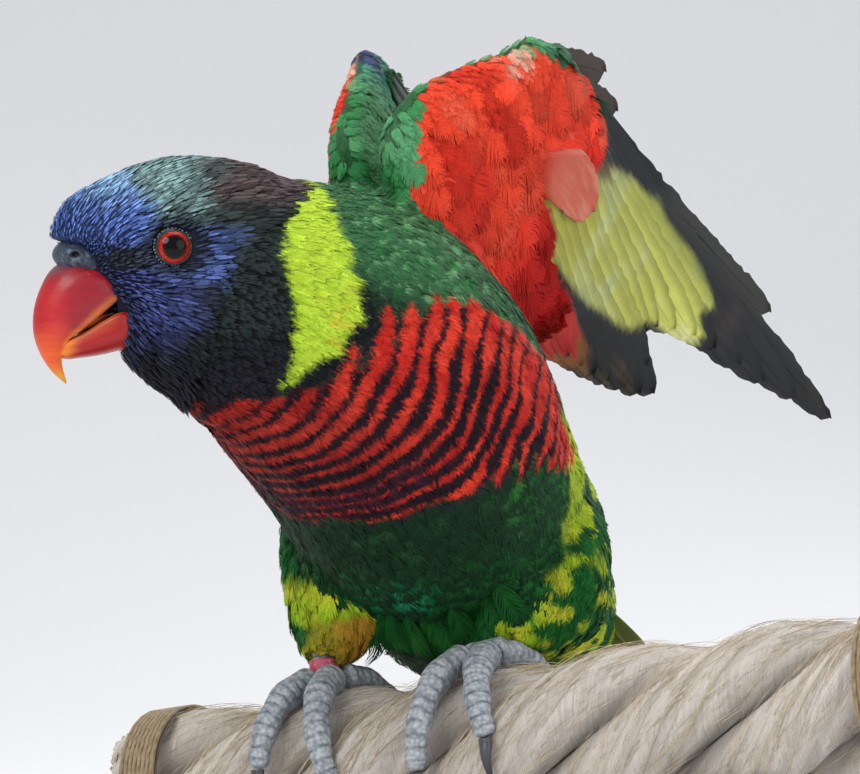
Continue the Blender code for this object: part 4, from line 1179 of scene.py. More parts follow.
def lay_feathers(
    name, seat, finish, slot, node, seed, colours, length, width, lift, barbs,
    joints=2, reach=0.42, cling=0.9, ragged=0.05, camber=0.12, stations=3, shaft=None, fray=0.3, streak=0.06, tilt=0.16,
):
    """Feathers of separate barbs either side of a shaft, joined into one piece. Sizes in millimetres.

    length, width and lift may differ from feather to feather. colours is vane, tip and the tip's share of each
    feather, or a function of places, so that the barbs take the bird's own markings where they lie, frayed a little.
    """
    own = np.random.default_rng(seed)
    n = len(seat["root"])
    length, width, lift = (np.broadcast_to(np.asarray(x, float), (n,)) for x in (length, width, lift))
    length = length * own.uniform(0.85, 1.12, n)
    lift = lift * own.uniform(0.75, 1.25, n)
    line, ups = centre_lines(seat, length, stations, cling)

    # each barb leaves the shaft and bends out to the feather's outline: y along the feather, x across it
    leave = np.linspace(0.04, 0.86, barbs)
    sign = np.where(np.arange(barbs) % 2, 1.0, -1.0)
    end = np.minimum(leave + reach, 1.0 - 0.02 * (np.arange(barbs) % 3))
    outline = np.sqrt(np.clip(1 - np.abs(2 * np.clip(end, 0, 1) ** 1.15 - 1) ** 2.6, 0.02, 1))
    q = np.linspace(0, 1, joints + 1)
    y = leave[:, None] + (end - leave)[:, None] * q
    x = (sign * outline)[:, None] * (1 - (1 - q) ** 1.7)
    y = np.clip(y + own.normal(0, ragged, (n, barbs, 1)) * q * 0.6, 0, 1.12)
    x = x + own.normal(0, ragged, (n, barbs, 1)) * q
    across = width[:, None, None]
    high = lift[:, None, None] * (1 - (1 - np.clip(y, 0, 1)) ** 2) - 0.25 * (1 - y) - camber * across * x**2
    high = high + own.normal(0, 0.05, (n, barbs, 1)) * q * np.minimum(across, 2.0)
    half = (width * 2.2 / barbs + 0.045)[:, None, None] * (1 - 0.75 * q**2)

    middle, up, ahead, aside = along_lines(line, ups, y, stations)
    middle = middle + ahead * (np.maximum(y - 1, 0)[..., None] * length[:, None, None, None])
    flat_place = middle + aside * (x * across)[..., None]
    centre = flat_place + up * high[..., None]
    way = unit(np.gradient(centre, axis=2))
    flat = unit(np.cross(up, way) + up * own.normal(0, tilt, (n, barbs, 1, 1))) * half[..., None]
    places = np.stack((centre - flat, centre + flat), axis=3)

    if callable(colours):
        spots = flat_place + ahead * own.normal(0, fray, (n, barbs, 1, 1))
        vane, tip, part = (v.reshape(n, barbs, joints + 1, -1) for v in colours(spots.reshape(-1, 3)))
        part = part[..., 0]
    else:
        vane, tip, part = colours[0][:, None, None], colours[1][:, None, None], colours[2]
    dark = ease(1 - part - 0.05, 1 - part + 0.05, y + own.normal(0, 0.03, (n, barbs, 1)))
    tone = 1 + own.normal(0, streak, (n, barbs, 1)) + own.normal(0, min(streak, 0.05), (n, 1, 1))
    colour = blend(vane, tip, dark) * np.broadcast_to(tone, dark.shape)[..., None]
    # each barb darker towards the feather's root: painted shade under the feathers that overlap it
    colour = colour * (0.7 + 0.3 * ease(0, 0.35, y))[..., None]
    maps = seat["map"][:, None, None] + np.stack((x * MAP_WIDTH, (np.clip(y, 0, 1) - 0.5) * MAP_LENGTH), axis=-1)
    colour, maps = (np.repeat(v[..., None, :], 2, axis=3) for v in (np.clip(colour, 0, 1), maps))

    heap = Heap()
    heap.add(places, [ribbon_faces(n * barbs, joints)], colour.reshape(-1, 3), OFBake=maps)
    if shaft:
        add_shafts(heap, line, ups, seat, lift, shaft, stations)
    heap.place(name, finish, slot, node)


def add_shafts(heap, line, ups, seat, lift, shaft, stations):
    """A lance-shaped bright streak down the middle of every feather."""
    breadth, colour, start, stop = shaft
    n = len(line)
    at = np.linspace(start, stop, 5)
    form = np.array((0.35, 0.9, 1.0, 0.8, 0.12))
    middle, up, _, aside = along_lines(line, ups, np.broadcast_to(at, (n, 5)), stations)
    high = lift[:, None] * (1 - (1 - at) ** 2) + 0.09
    half = (breadth[:, None] * form)[..., None]
    top = middle + up * high[..., None]
    places = np.stack((top - aside * half - up * half * 0.45, top, top + aside * half - up * half * 0.45), axis=2)
    tint = colour[:, None, None] * np.array((0.8, 1.0, 1.0, 1.05, 0.9))[:, None, None] * np.ones((3, 1))
    maps = np.stack(np.broadcast_arrays(0.0, (at - 0.5) * MAP_LENGTH), axis=-1)[:, None]
    maps = np.broadcast_to(seat["map"][:, None, None] + maps, (n, 5, 3, 2))
    heap.add(places, [copied_faces(grid_faces(5, 3), n, 15)], np.clip(tint, 0, 1).reshape(-1, 3), OFBake=maps)


skin = Skin()
plume_finish = feather_finish("plumes")
soft_plume_finish = feather_finish("soft_plumes", 0.68, 0.04, 0.08)


def paint_skin():
    """The down between the feathers takes their colours, darker: partly the down's own duller colour, partly painted
    shade under the coat.
    """
    places, region = skin.places, skin.region
    tint = blend(*trunk_markings(places))
    streak, ground = head_markings(places)
    tint[region == HEAD_SKIN] = blend(ground, streak, 0.3)[region == HEAD_SKIN]
    for side in WINGS:
        own = region == THIGH_SKIN[side]
        tint[own] = thigh_markings(places[own], side)[0]
        own = region == ARM_SKIN[side]
        tint[own] = wing_markings(places[own], skin.normals[own], WINGS[side])[0]
    # darker than the feathers over it: partly the down's own colour, partly painted shade under the coat
    set_tint(skin.mesh, average_over(skin.edges, tint, 1) * DOWN_SHADE)
    set_finish(skin.mesh, skin_finish("down"))
    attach(skin.piece, "root")
    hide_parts(*FLESH)


paint_skin()


# ---- the head's feathers: short lances, each with a bright streak ----
def bare_face(places):
    """1 where the head has no feathers: eyes, the patch before them, cere, bill."""
    f, left, z = head_frame(places)
    eye = ease(4.3, 3.9, np.hypot(f, z - EYE_UP)) * ease(6, 8, np.abs(left))
    front = along_edge(FACE_FRONT, z)
    bill = ease(front - 0.5, front + 0.1, f)
    return np.clip(eye + bill, 0, 1)


def head_barbs(places):
    streak, ground = head_markings(places)
    return ground, blend(ground, streak, 0.16), np.full(len(places), 0.5)


def feather_head():
    on_head = (skin.region == HEAD_SKIN) * (1 - bare_face(skin.places))
    f, _, _ = head_frame(skin.places)
    for name, keep, spacing, size, seed in (
        ("face_feathers", ease(-9, -6, f), 0.82, 1.0, 21), ("nape_feathers", ease(-6, -9, f), 1.02, 1.25, 22),
    ):
        seat = skin.scatter(on_head * keep, spacing, seed)
        root, flow = seat["root"], seat["flow"]
        f, _, z = head_frame(root)
        away = np.linalg.norm(root - in_head(17, 0, -3), axis=1)
        length = (1.5 + 3.9 * ease(8, 28, away)) * size
        length = length * (1 - 0.45 * ease(8, 4, np.hypot(f, z - EYE_UP)))
        width = length * 0.14 + 0.12
        lift = 0.25 + 0.09 * length + 0.75 * ease(-15, -20, z) + draw.uniform(0, 0.16, len(f))
        streak, _ = head_markings(root + flow * length[:, None] * 0.5)
        seat["flow"] = unit(flow + cloud(root, 3, 12)[:, None] * np.cross(seat["normal"], flow) * 0.28)
        bright = 0.36 + 0.84 * draw.random(len(f)) ** 1.7
        lay_feathers(
            name, seat, plume_finish, "head_feathers", "head", seed, head_barbs, length, width, lift, 8, joints=1,
            reach=0.36, cling=0.8, camber=0.4, stations=2, shaft=(width * 0.36, streak * bright[:, None], 0.3, 1.04),
        )


feather_head()


# ---- neck, collar, breast, belly, back ----
def feather_trunk():
    share, angle, _ = spine.read(skin.places)
    side = np.abs(angle)
    trunk = (skin.region == TRUNK_SKIN) * 1.0
    rear, low, top = (along_edge(edge, side) for edge in (COLLAR_BACK, RED_LOW, RED_TOP))
    neck = trunk * ease(rear - 0.012, rear - 0.002, share) * ease(30, 38, side)
    throat = trunk * ease(top - 0.01, top, share) * (1 - neck)
    fine = np.maximum(neck, throat * ease(0.84, 0.87, share))
    seat = skin.scatter(fine, 1.05, 31)
    ahead = seat["root"] + seat["flow"] * 4.2
    share_there, angle_there, _ = spine.read(ahead)
    collar, _ = collar_share(ahead, share_there, np.abs(angle_there))
    lay_feathers(
        "collar_feathers", seat, soft_plume_finish, "collar_feathers", "neck", 31, trunk_markings, 4.6 + 2.6 * collar,
        0.8 + 0.5 * collar, 0.5 + 0.35 * collar, 9, reach=0.5, cling=0.8, ragged=0.1, camber=0.25,
    )

    # breast: rows of round-tipped feathers, each ending in a dark bar
    red = trunk * ease(low - 0.012, low + 0.006, share) * ease(top + 0.012, top, share) * ease(120, 112, side)
    seat = skin.scatter(red, 1.75, 32)
    share_here, angle_here, _ = spine.read(seat["root"])
    phase = bar_phase(share_here, angle_here, seat["root"])
    back = (np.ceil(phase) - phase) * BAR_STEP
    seat = skin.seat_nearest(seat["root"] + seat["flow"] * back[:, None] * 0.94)
    lay_feathers(
        "breast_feathers", seat, plume_finish, "breast_feathers", "breast", 32, trunk_markings, 7.6, 1.8, 0.85, 16,
        joints=3, reach=0.44, cling=1.0, ragged=0.035, camber=0.1, stations=4, fray=0.13,
    )

    # the rest of the trunk, less the end of the rump, where the tail is
    rest = trunk * (1 - np.clip(fine + red, 0, 1)) * (1 - neck)
    rest = rest * np.maximum(ease(-0.72, -0.5, skin.normals @ spine.along[0]), ease(0.04, 0.06, share))
    front = rest * ease(104, 96, side)
    behind = rest * ease(96, 104, side)
    vent = front * ease(0.44, 0.40, share) * ease(44, 28, side)
    for name, keep, spacing, length, width, lift, node, seed, barbs in (
        ("belly_feathers", front, 2.1, 8.0, 2.2, 1.0, "belly", 33, 22),
        ("back_feathers", behind, 2.3, 9.0, 2.7, 1.0, "rump", 34, 22),
        ("vent_feathers", vent, 2.6, 14.0, 2.8, 4.6, "belly", 35, 36),
    ):
        seat = skin.scatter(keep, spacing, seed)
        mantle = ease(0.70, 0.80, spine.read(seat["root"])[0])
        shorter = 1 - 0.35 * mantle
        lay_feathers(
            name, seat, plume_finish, "green_feathers", node, seed, trunk_markings, length * shorter, width * shorter,
            lift - 0.3 * mantle, barbs,
        )


feather_trunk()


def feather_thighs():
    for side, seed, lift in (("left", 41, 0.9), ("right", 42, 1.7)):
        seat = skin.scatter((skin.region == THIGH_SKIN[side]) * 1.0, 1.6, seed)
        low = ease(134, 122, seat["root"][:, 2])
        lay_feathers(
            "thigh_feathers_" + side, seat, soft_plume_finish, "thigh_feathers", "thigh_" + side, seed,
            lambda places, side=side: thigh_markings(places, side), 7.0 - 2.6 * low, 1.8 - 0.7 * low, lift, 18,
            ragged=0.08,
        )


feather_thighs()


# ---- wings ----
# the arm's section across the wing: b, front a, rear a, thickness
ARM = (
    (-5.5, 8, 24, 2), (-3, 0, 33, 4), (2, -3.5, 42, 6.5), (8, -8, 47, 8), (16, -15, 50, 9.5), (24, -21, 52, 10.5),
    (32, -24, 52, 11.5), (39, -22.5, 50, 12), (44, -16, 46, 11), (48.5, -2, 38, 6.5),
)
# where the cover feathers of the underside end: b, a
COVER_EDGE = (
    (-8, 30), (-2.6, 31), (0.7, 34), (5, 31), (7.6, 27), (11, 21), (15.5, 15), (19, 18), (22, 25), (25, 34),
    (28.4, 35), (29.6, 50), (33, 58), (37, 62), (41.4, 53), (50, 50),
)


def arm_half_thickness(a, b):
    """Half the arm's thickness at a place of the wing, 0 outside it."""
    rows = np.array(ARM)
    front, rear, thick = (np.interp(b, rows[:, 0], rows[:, k]) for k in (1, 2, 3))
    share = (a - front) / np.maximum(rear - front, 1.0)
    form = np.interp(share, (-0.02, 0, 0.05, 0.2, 0.5, 0.8, 1, 1.08), (0, 0.1, 0.62, 1, 0.9, 0.5, 0.12, 0))
    inside = (b > rows[0, 0]) & (b < rows[-1, 0])
    return np.where(inside, form * thick / 2, 0.0)


def feather_arms():
    """Cover feathers: large and soft below, firmer above, small along the front edge."""
    across, fronts, rears, _ = zip(*ARM)
    for side, seed in (("left", 51), ("right", 52)):
        wing = WINGS[side]
        a, b, _ = wing.read(skin.places)
        below = ease(0.3, 0, skin.normals @ wing.upper)
        depth = a - np.interp(b, across, fronts)
        inner = ease(4.5, 7, depth)
        own = (skin.region == ARM_SKIN[side]) * (1 - ease(42.5, 44, b) * ease(20, 25, a))
        rim = own * ease(9, 6, depth)
        lower = own * below * inner * ease(-2.5, -5, a - along_edge(COVER_EDGE, b))
        upper = own * (1 - below) * inner * ease(-10, -14, a - np.interp(b, across, rears))
        for part_name, keep, spacing, short, long, slim, barbs, joints, lift in (
            ("rim", rim, 1.3, 4.2, 5.4, 0.24, 14, 2, 0.6),
            ("lining", lower, 3.2, 6.5, 11.0, 0.42, 36, 2, 1.1),
            ("large_lining", lower * ease(8, 12, depth), 4.4, 12.0, 17.0, 0.38, 60, 3, 1.9),
            ("upper", upper, 2.6, 5.0, 11.0, 0.28, 18, 2, 0.7),
        ):
            seat = skin.scatter(keep, spacing, seed)
            a, b, _ = wing.read(seat["root"])
            length = short + (long - short) * ease(4, 26, a - np.interp(b, across, fronts))
            soft_part = part_name.endswith("lining")
            if soft_part:
                length = np.clip(along_edge(COVER_EDGE, b) + 2.5 - a, 5.0, length)
            turn = cloud(seat["root"], 14, 13)[:, None] * 0.35 + 0.12 * soft_part
            seat["flow"] = unit(seat["flow"] + turn * wing.across)
            vane, tip = wing_markings(seat["root"] + seat["flow"] * 3.0, seat["normal"], wing)
            tone = (1 + draw.normal(0, 0.12 if soft_part else 0.05, len(a)))[:, None]
            lay_feathers(
                f"wing_{part_name}_{side}", seat, soft_plume_finish, "wing_lining" if soft_part else "green_feathers",
                # the lining feathers' tips darker by 0.86: painted shade at the edge of each lobe
                f"wing_{side}_arm", seed, (vane * tone, tip * tone * (0.86 if soft_part else 1.0), 0.15),
                length, length * slim, lift, barbs, joints=joints, reach=0.4, cling=0.75,
                ragged=0.02 if soft_part else 0.035, streak=0.03, tilt=0.07 if soft_part else 0.14,
            )


feather_arms()

DARK_VANE = paint(28, 30, 35)
BROWN_VANE = paint(74, 64, 57)
ALONG_BARBS = (0.3, 2.0, 1.0)
# the pale patch of the wing's underside, round its edge: a, b
YELLOW_PATCH = (
    (22, 21), (30, 12), (38, 3), (44, 0.6), (61, -2), (80, -1.5), (92, 1), (95.5, 3.5), (93, 7.5), (98, 9.5),
    (97, 13.5), (92, 16.2), (80, 18), (75, 22.8), (69, 25.2), (58, 27.2), (44, 28.6), (34, 29.6), (26, 27),
)


def inside_outline(outline, x, y):
    """Distance inwards from a closed outline; negative outside."""
    corners = np.array(outline, float)
    after = np.roll(corners, -1, axis=0)
    point = np.stack((x, y), axis=-1)
    inside = np.zeros(x.shape, bool)
    nearest = np.full(x.shape, 1e9)
    for (x0, y0), (x1, y1) in zip(corners, after):
        way = np.array((x1 - x0, y1 - y0))
        t = np.clip(((point - (x0, y0)) @ way) / way.dot(way), 0, 1)
        nearest = np.minimum(nearest, np.linalg.norm(point - (x0, y0) - t[..., None] * way, axis=-1))
        crossing = (y0 > y) != (y1 > y)
        at = x0 + (y - y0) * (x1 - x0) / np.where(y1 == y0, 1e-9, y1 - y0)
        inside ^= crossing & (x < at)
    return np.where(inside, nearest, -nearest)


def wing_under_colours(a, b, across, share):
    """The flight feathers from below: yellow patch with painted shade and sheen along the feathers' edges, dark ends,
    ochre inner edges.
    """
    soft = mottle((a, b, across), 6, 14)
    fine = mottle((a, b, across), 1.5, 15, (0.25, 2.0, 1.0))
    patch = ease(-0.6, 1.4, inside_outline(YELLOW_PATCH, a, b) + fine * 0.7)
    yellow = layered(
        blend(paint(210, 212, 100), paint(228, 232, 156), ease(0, 0.8, soft + fine * 0.3)),
        (ease(54, 36, a + soft * 6) * 0.7, paint(190, 180, 48)), (ease(0.35, 0.9, soft) * 0.35, paint(120, 150, 110)),
        # darker olive along one edge of each feather: painted shade where the next feather overlaps
        (ease(-0.35, -0.95, across) * 0.55, paint(112, 122, 52)),
        # paler along the other edge further out: painted sheen
        (ease(0.3, 0.9, across) * ease(50, 80, a) * 0.35, paint(206, 208, 170)),
        (ease(46, 41, a + fine * 2) * ease(8.5, 5.5, b + soft * 2) * 0.9, paint(84, 62, 44)),
    )
    edge = along_edge(COVER_EDGE, b) + 2.0 + fine * 2.0
    ochre = ease(31, 34, b + soft) * ease(edge + 7.0, edge + 2.5, a)
    covered = ease(edge + 0.6, edge - 0.6, a) * ease(-2, -0.5, b)
    ends = np.clip(ease(70, 80, a) * ease(27, 30, b) + ease(60, 66, a) * ease(35, 37, b), 0, 1)
    return layered(
        DARK_VANE * (1 - 0.45 * ease(24, 32, b))[..., None],
        (ease(0.1, 0.8, soft + fine * 0.4) * 0.5 * ease(86, 110, a), BROWN_VANE),
        (ease(-1.5, -5.5, b) * ease(58, 70, a) * 0.6, paint(70, 72, 66)), (patch, yellow),
        (ochre * 0.7, paint(158, 96, 38)),
        (covered, blend(paint(170, 24, 18), paint(196, 44, 28), ease(-0.3, 0.5, fine))),
        (ends * ease(-0.2, 0.6, fine) * 0.6, paint(96, 78, 52)),
    )


def wing_over_colours(a, b, across, share):
    """From above: green outer webs, dark inner webs and ends."""
    fine = mottle((a, b, across), 1.5, 16, ALONG_BARBS)
    green = blend(paint(26, 92, 52), paint(44, 120, 66), ease(-0.5, 0.6, fine))
    dark = blend(DARK_VANE, BROWN_VANE, ease(0.75, 1, share) * 0.4)
    return blend(green, dark, np.clip(ease(-0.2, 0.3, across) + ease(0.72, 0.9, share), 0, 1))


def alula_colours(a, b, across, share):
    return blend(BROWN_VANE, paint(24, 84, 50), ease(0.55, 0.1, share) * 0.8 + 0 * across)


def salmon_colours(a, b, across, share):
    fine = mottle((a, b, across), 1.5, 25, ALONG_BARBS)
    salmon = blend(paint(204, 92, 68), paint(216, 130, 104), ease(-0.4, 0.6, fine) * ease(0.3, 0.9, share))
    return blend(salmon, paint(196, 54, 38), ease(0.5, 0.2, share))


def tail_colours(a, b, across, share):
    fine = mottle((a, b, across), 1.5, 17, ALONG_BARBS)
    green = blend(paint(24, 96, 50), paint(50, 128, 60), ease(-0.5, 0.6, fine))
    return blend(green, paint(150, 164, 60), ease(0.1, 0.7, across) * ease(0.35, 0.8, share) * 0.6)


def tail_under_colours(a, b, across, share):
    return blend(tail_colours(a, b, across, share), paint(150, 150, 60), 0.55)


def firm_feather(
    heap, place, line, before, after, colours, rows=56, columns=11, thick=0.35, stack=0.0, blunt=0.82, rod=True,
):
    """One flight feather: two curved vanes meeting at a shaft, closed all round.

    line is its root and tip on the fan and place(a, b, lift, side) gives a place of it; before and after are the
    feather's half widths on its two sides, colours those of its under and upper side.
    """
    root, tip = np.array(line[:2], float), np.array(line[2:], float)
    long = np.linalg.norm(tip - root)
    way = (tip - root) / long
    aside = np.array((-way[1], way[0])) * (1 if way[0] >= 0 else -1)
    s = np.linspace(0, 1, rows)[:, None] ** 0.9
    q = np.linspace(-1, 1, columns)[None, :]
    body = np.clip(s / 0.16, 0, 1) ** 0.5
    end = np.sqrt(np.clip(1 - np.clip((s - blunt) / (1 - blunt), 0, 1) ** 2.2, 0, 1))
    half = np.where(q < 0, before, after) * (0.3 + 0.7 * body) * np.maximum(end, 0.02)
    x = q * half + np.sign(q) * (draw.normal(0, 0.18, rows)[:, None] * np.abs(q) ** 6 * (s > 0.3))
    a, b = (root[i] + way[i] * long * s + aside[i] * x for i in (0, 1))
    curl = stack - 0.5 * q**2 + 0.35 * q
    web = thick * (1 - 0.65 * np.abs(q) ** 1.5) * (1 - 0.5 * s)
    sides = [place(a, b, curl + side * web, side).reshape(-1, 3) for side in (-1, 1)]
    count = rows * columns
    number = np.arange(count).reshape(rows, columns)
    rim = np.concatenate((number[0], number[1:, -1], number[-1, -2::-1], number[-2:0:-1, 0]))
    after_rim = np.roll(rim, -1)
    wall = np.stack((after_rim, rim, rim + count, after_rim + count), axis=-1)
    cells = grid_faces(rows, columns)
    vane = np.stack(np.broadcast_arrays(x / 10.0, s * long / 10.0), axis=-1).reshape(-1, 2)
    tone = 1 + draw.normal(0, 0.05)
    across, share = np.broadcast_arrays(q, s)
    tints = np.concatenate([c(a, b, across, share).reshape(-1, 3) * tone for c in colours])
    faces = [cells, cells[:, ::-1] + count, wall]
    heap.add(np.concatenate(sides), faces, np.clip(tints, 0, 1), vane=np.concatenate((vane, vane)))
    # the shaft, a slim round rod that stands out below and a little above
    kept, around = rows - 2, 6
    s = s[:, 0]
    middle = [root[i] + way[i] * long * s for i in (0, 1)]
    for side in (-1, 1) * rod:
        centre = place(*middle, stack + side * thick * 0.8 * (1 - 0.5 * s), side)[:kept]
        places, faces = tube(centre, (0.55 * (1 - 0.8 * s))[:kept], around)
        shade = colours[(side + 1) // 2](*middle, 0 * s, s)[:kept] * 0.82
        shade = np.concatenate((np.repeat(shade, around, axis=0), shade[:1], shade[-1:]))
        heap.add(places, faces, shade, vane=np.zeros((len(places), 2)))


vane_under = vane_finish("flight_vanes")


def wing_place(wing):
    """Places of the wing's feathers, pushed out where they would lie inside the arm."""

    def place(a, b, lift, side):
        edge = along_edge(COVER_EDGE, b)
        clear = arm_half_thickness(a, b) * ease(edge - 5, edge + 2, a) * (0.9 if side > 0 else 1)
        return wing.point(a, b, lift + side * clear)

    return place


LEADING_FEATHER = (16.0, -3.0, 113.5, -6.6)
ALULAS = {  # root and tip of each; half widths
    "left": (((3.0, 0.8, 31.0, -13.4), (5.0, 1.4, 40.4, -9.8)), (3.0, 5.0)),
    "right": (((4.0, 2.6, 24.0, 3.0), (4.6, 4.4, 28.0, 6.0)), (2.4, 3.0)),
}


def make_flight_feathers():
    colours = (wing_under_colours, wing_over_colours)
    for side, wing in WINGS.items():
        place = wing_place(wing)
        heaps = {part: Heap() for part in ("primaries", "secondaries", "alula")}
        for i, line in enumerate(PRIMARIES):
            firm_feather(
                heaps["primaries"], place, line, 4.6 if i else 3.0, 5.6 + 0.35 * i, colours,
                stack=0.25 - 0.055 * i, blunt=0.7,
            )
        firm_feather(heaps["primaries"], place, LEADING_FEATHER, 2.2, 3.6, colours, stack=0.5, blunt=0.86)
        for i, line in enumerate(SECONDARIES):
            firm_feather(heaps["secondaries"], place, line, 5.0, 6.4, colours, stack=-0.3 - 0.05 * i, blunt=0.72)
        lines, halves = ALULAS[side]
        for i, line in enumerate(lines):
            firm_feather(
                heaps["alula"], lambda a, b, lift, side: wing.point(a, b, lift + 4.6), line, *halves,
                (alula_colours, alula_colours), rows=30, columns=9, stack=-0.4 * i, blunt=0.75,
            )
        for part, heap in heaps.items():
            heap.place(f"{part}_{side}", vane_under, "flight_feathers", f"wing_{side}_{part}")


make_flight_feathers()


def make_salmon_feathers():
    """One broad paler cover feather in the middle of each wing's underside."""
    for side, wing in WINGS.items():
        def place(a, b, lift, s, wing=wing):
            edge = along_edge(COVER_EDGE, b)
            clear = arm_half_thickness(a, b) * ease(50, 34, a) + 0.1 + 2.1 * ease(edge - 1.5, edge + 2.5, a)
            return wing.point(a, b, lift - clear)

        heap = Heap()
        firm_feather(
            heap, place, (8.0, 14.6, 41.5, 13.8), 6.8, 7.2, (salmon_colours, salmon_colours), rows=44, columns=21,
            thick=0.3, blunt=0.4, rod=False,
        )
        heap.place(f"wing_salmon_{side}", vane_under, "wing_lining", f"wing_{side}_arm")


make_salmon_feathers()


# ---- tail ----
def make_tail_feathers():
    heap = Heap()
    for k in range(TAIL_PAIRS, -1, -1):
        for sign in ((-1, 1) if k else (1,)):
            off = sign * k / TAIL_PAIRS
            angle = math.radians(TAIL_SPREAD * off)
            length = TAIL_LENGTH - TAIL_STEP * k
            root = (-3.0, 9.0 * off)
            tip = (root[0] + math.cos(angle) * length, root[1] + math.sin(angle) * length)

            def place(a, b, lift, s, off=off, k=k):
                slope = 0.22 * (TAIL_PAIRS - k) * (1 - a / TAIL_LENGTH)
                return TAIL.point(a, b, lift * 0.8 - 1.5 * 0.75 * abs(off) + slope)

            firm_feather(
                heap, place, root + tip, 4.6, 4.6, (tail_under_colours, tail_colours), rows=44, columns=9, thick=0.3,
                blunt=0.76,
            )
    heap.place("tail_feathers", vane_under, "green_feathers", "tail")


make_tail_feathers()


# ---- bill, cere, tongue, eyes ----
def bill_colours(f, z):
    """Deep red at the root, orange along the middle, yellow at the tip; a painted grey-blue highlight along the top by
    the cere.
    """
    soft = mottle((f, z, 0.0), 3, 18)
    down = -z + soft * 1.2
    return layered(
        paint(152, 20, 36), (ease(17, 21.5, f + soft) * ease(3, 9, down) * 0.8, paint(190, 32, 36)),
        (ease(13.5, 20, down) * ease(10, 17, f), paint(226, 88, 26)), (ease(20.5, 24.5, down), paint(232, 168, 40)),
        # painted highlight: paler grey-blue along the top near the cere
        (ease(4.6, 2.2, down + 0.22 * (17 - f)) * 0.75, paint(96, 84, 104)),
    )


bill_finish = horn_finish("bill_layers", 0.36, 0.2)
MOUTH_DARK = paint(60, 24, 26)


def make_upper_bill():
    rows = through([(cf, 0, cu, tf, tu, half) for cf, cu, tf, tu, half in UPPER_BILL], 56)
    # half a section, from the culmen down the outside to the cutting edge and up into the palate
    depth = (0, 0.015, 0.06, 0.16, 0.32, 0.52, 0.72, 0.88, 0.96, 1.0, 0.985, 0.9, 0.8, 0.74, 0.72)
    breadth = (0, 0.2, 0.42, 0.66, 0.87, 0.98, 1.0, 0.93, 0.86, 0.79, 0.74, 0.62, 0.44, 0.22, 0)
    steps = np.linspace(0, 14, 43)
    share, wide = (np.interp(steps, np.arange(15), x) for x in (depth, breadth))
    inner = ease(9.2, 10.5, steps)
    share, wide, inner = (np.concatenate((x, sign * x[-2:0:-1])) for x, sign in ((share, 1), (wide, -1), (inner, 1)))
    culmen_f, culmen_z, edge_f, edge_z, half = rows[:, (0, 2, 3, 4, 5)].T[..., None]
    f = culmen_f + (edge_f - culmen_f) * share
    z = culmen_z + (edge_z - culmen_z) * share
    rim = ease(0.84, 0.95, share) * (1 - inner)
    tint = layered(bill_colours(f, z), (inner * 0.85, paint(64, 22, 22)), (rim * 0.5, paint(250, 150, 70)))
    ends = in_head((13.6, 18.2), 0, (-4.6, -25.3))
    heap = Heap()
    heap.add_closed(in_head(f, half * wide, z), ends, tint, (MOUTH_DARK, paint(240, 196, 80)))
    heap.place("upper_bill", bill_finish, "bill_horn", "upper_bill")


def make_lower_bill():
    raised = [
        (
            f + 0.9 * float(ease(15, 18.9, f)), 0, 0, top + 1.5 * min((f - 4.5) / 5, 1), bottom + 0.3 * (f > 18),
            max(half, 1.9),
        )
        for f, top, bottom, half in LOWER_BILL
    ]
    f, top, bottom, half = through(raised, 40)[:, (0, 3, 4, 5)].T[..., None]
    turn = np.radians(np.linspace(0, 360, 40, endpoint=False))
    height, wide = np.sin(turn), np.cos(turn)
    # hollow above, with a rim on each side; rounded below
    hollow = 0.5 + 0.5 * np.minimum(height * 4, 1) - ease(0.1, 1, height) * 0.6
    level = np.where(height > 0, hollow, 0.5 + 0.5 * height)
    rim_wide = wide * 0.92 + np.sign(wide) * 0.08 * (np.abs(wide) > 0.05)
    across = np.where(height > 0, rim_wide, np.sign(wide) * np.abs(wide) ** 0.8)
    z = bottom + (top - bottom) * level
    rim = ease(0.13, 0.21, height) * ease(0.36, 0.28, height)
    tint = layered(
        paint(164, 18, 22), (ease(15.5, 19.5, f - 0.5 * np.maximum(-19 - z, 0)), paint(236, 140, 40)),
        (ease(0.3, 0.9, height) * 0.75, paint(84, 36, 34)), (rim * ease(7.5, 11, f) * 0.6, paint(244, 160, 84)),
    )
    ends = in_head((4.6, 20.3), 0, (-15.5, -19.0))
    heap = Heap()
    heap.add_closed(in_head(f, half * across, z), ends, tint, (MOUTH_DARK, paint(244, 150, 70)))
    heap.place("lower_bill", bill_finish, "bill_horn", "lower_bill")


def make_tongue():
    rows = [(f + 0.24 * (f - 7.5), 0, 0, top + 1.0, bottom, half * 1.15) for f, top, bottom, half in TONGUE]
    f, top, bottom, half = through(rows, 26)[:, (0, 3, 4, 5)].T[..., None]
    turn = np.radians(np.linspace(0, 360, 26, endpoint=False))
    groove = ease(0.5, 1, np.sin(turn)) * 0.35
    z = (top + bottom) / 2 + (top - bottom) / 2 * (np.sin(turn) - groove)
    rings = in_head(f, half * np.cos(turn), z)
    rings = rings + cloud(rings, 0.8, 19)[..., None] * 0.08 * UP
    tint = blend(paint(70, 22, 22), paint(232, 110, 50), ease(10.5, 14, f + 0 * z))
    ends = in_head((7.4, 17.2), 0, (-11.3, -15.3))
    heap = Heap()
    heap.add_closed(rings, ends, tint, (paint(120, 40, 36), paint(236, 140, 80)))
    # a near-black tube behind the tongue: painted shade of the mouth's inside
    throat = in_head(np.linspace(2.0, 11.4, 20), 0, np.linspace(-10.2, -11.2, 20))
    round_ends = np.sqrt(np.clip(1 - np.linspace(-1, 1, 20) ** 2, 0.02, 1))
    heap.add(*tube(throat, 2.5 * round_ends, 20), paint(30, 10, 12))
    heap.place("tongue", wet_finish("tongue_flesh", 0.3, 0.4), "tongue_flesh", "tongue")


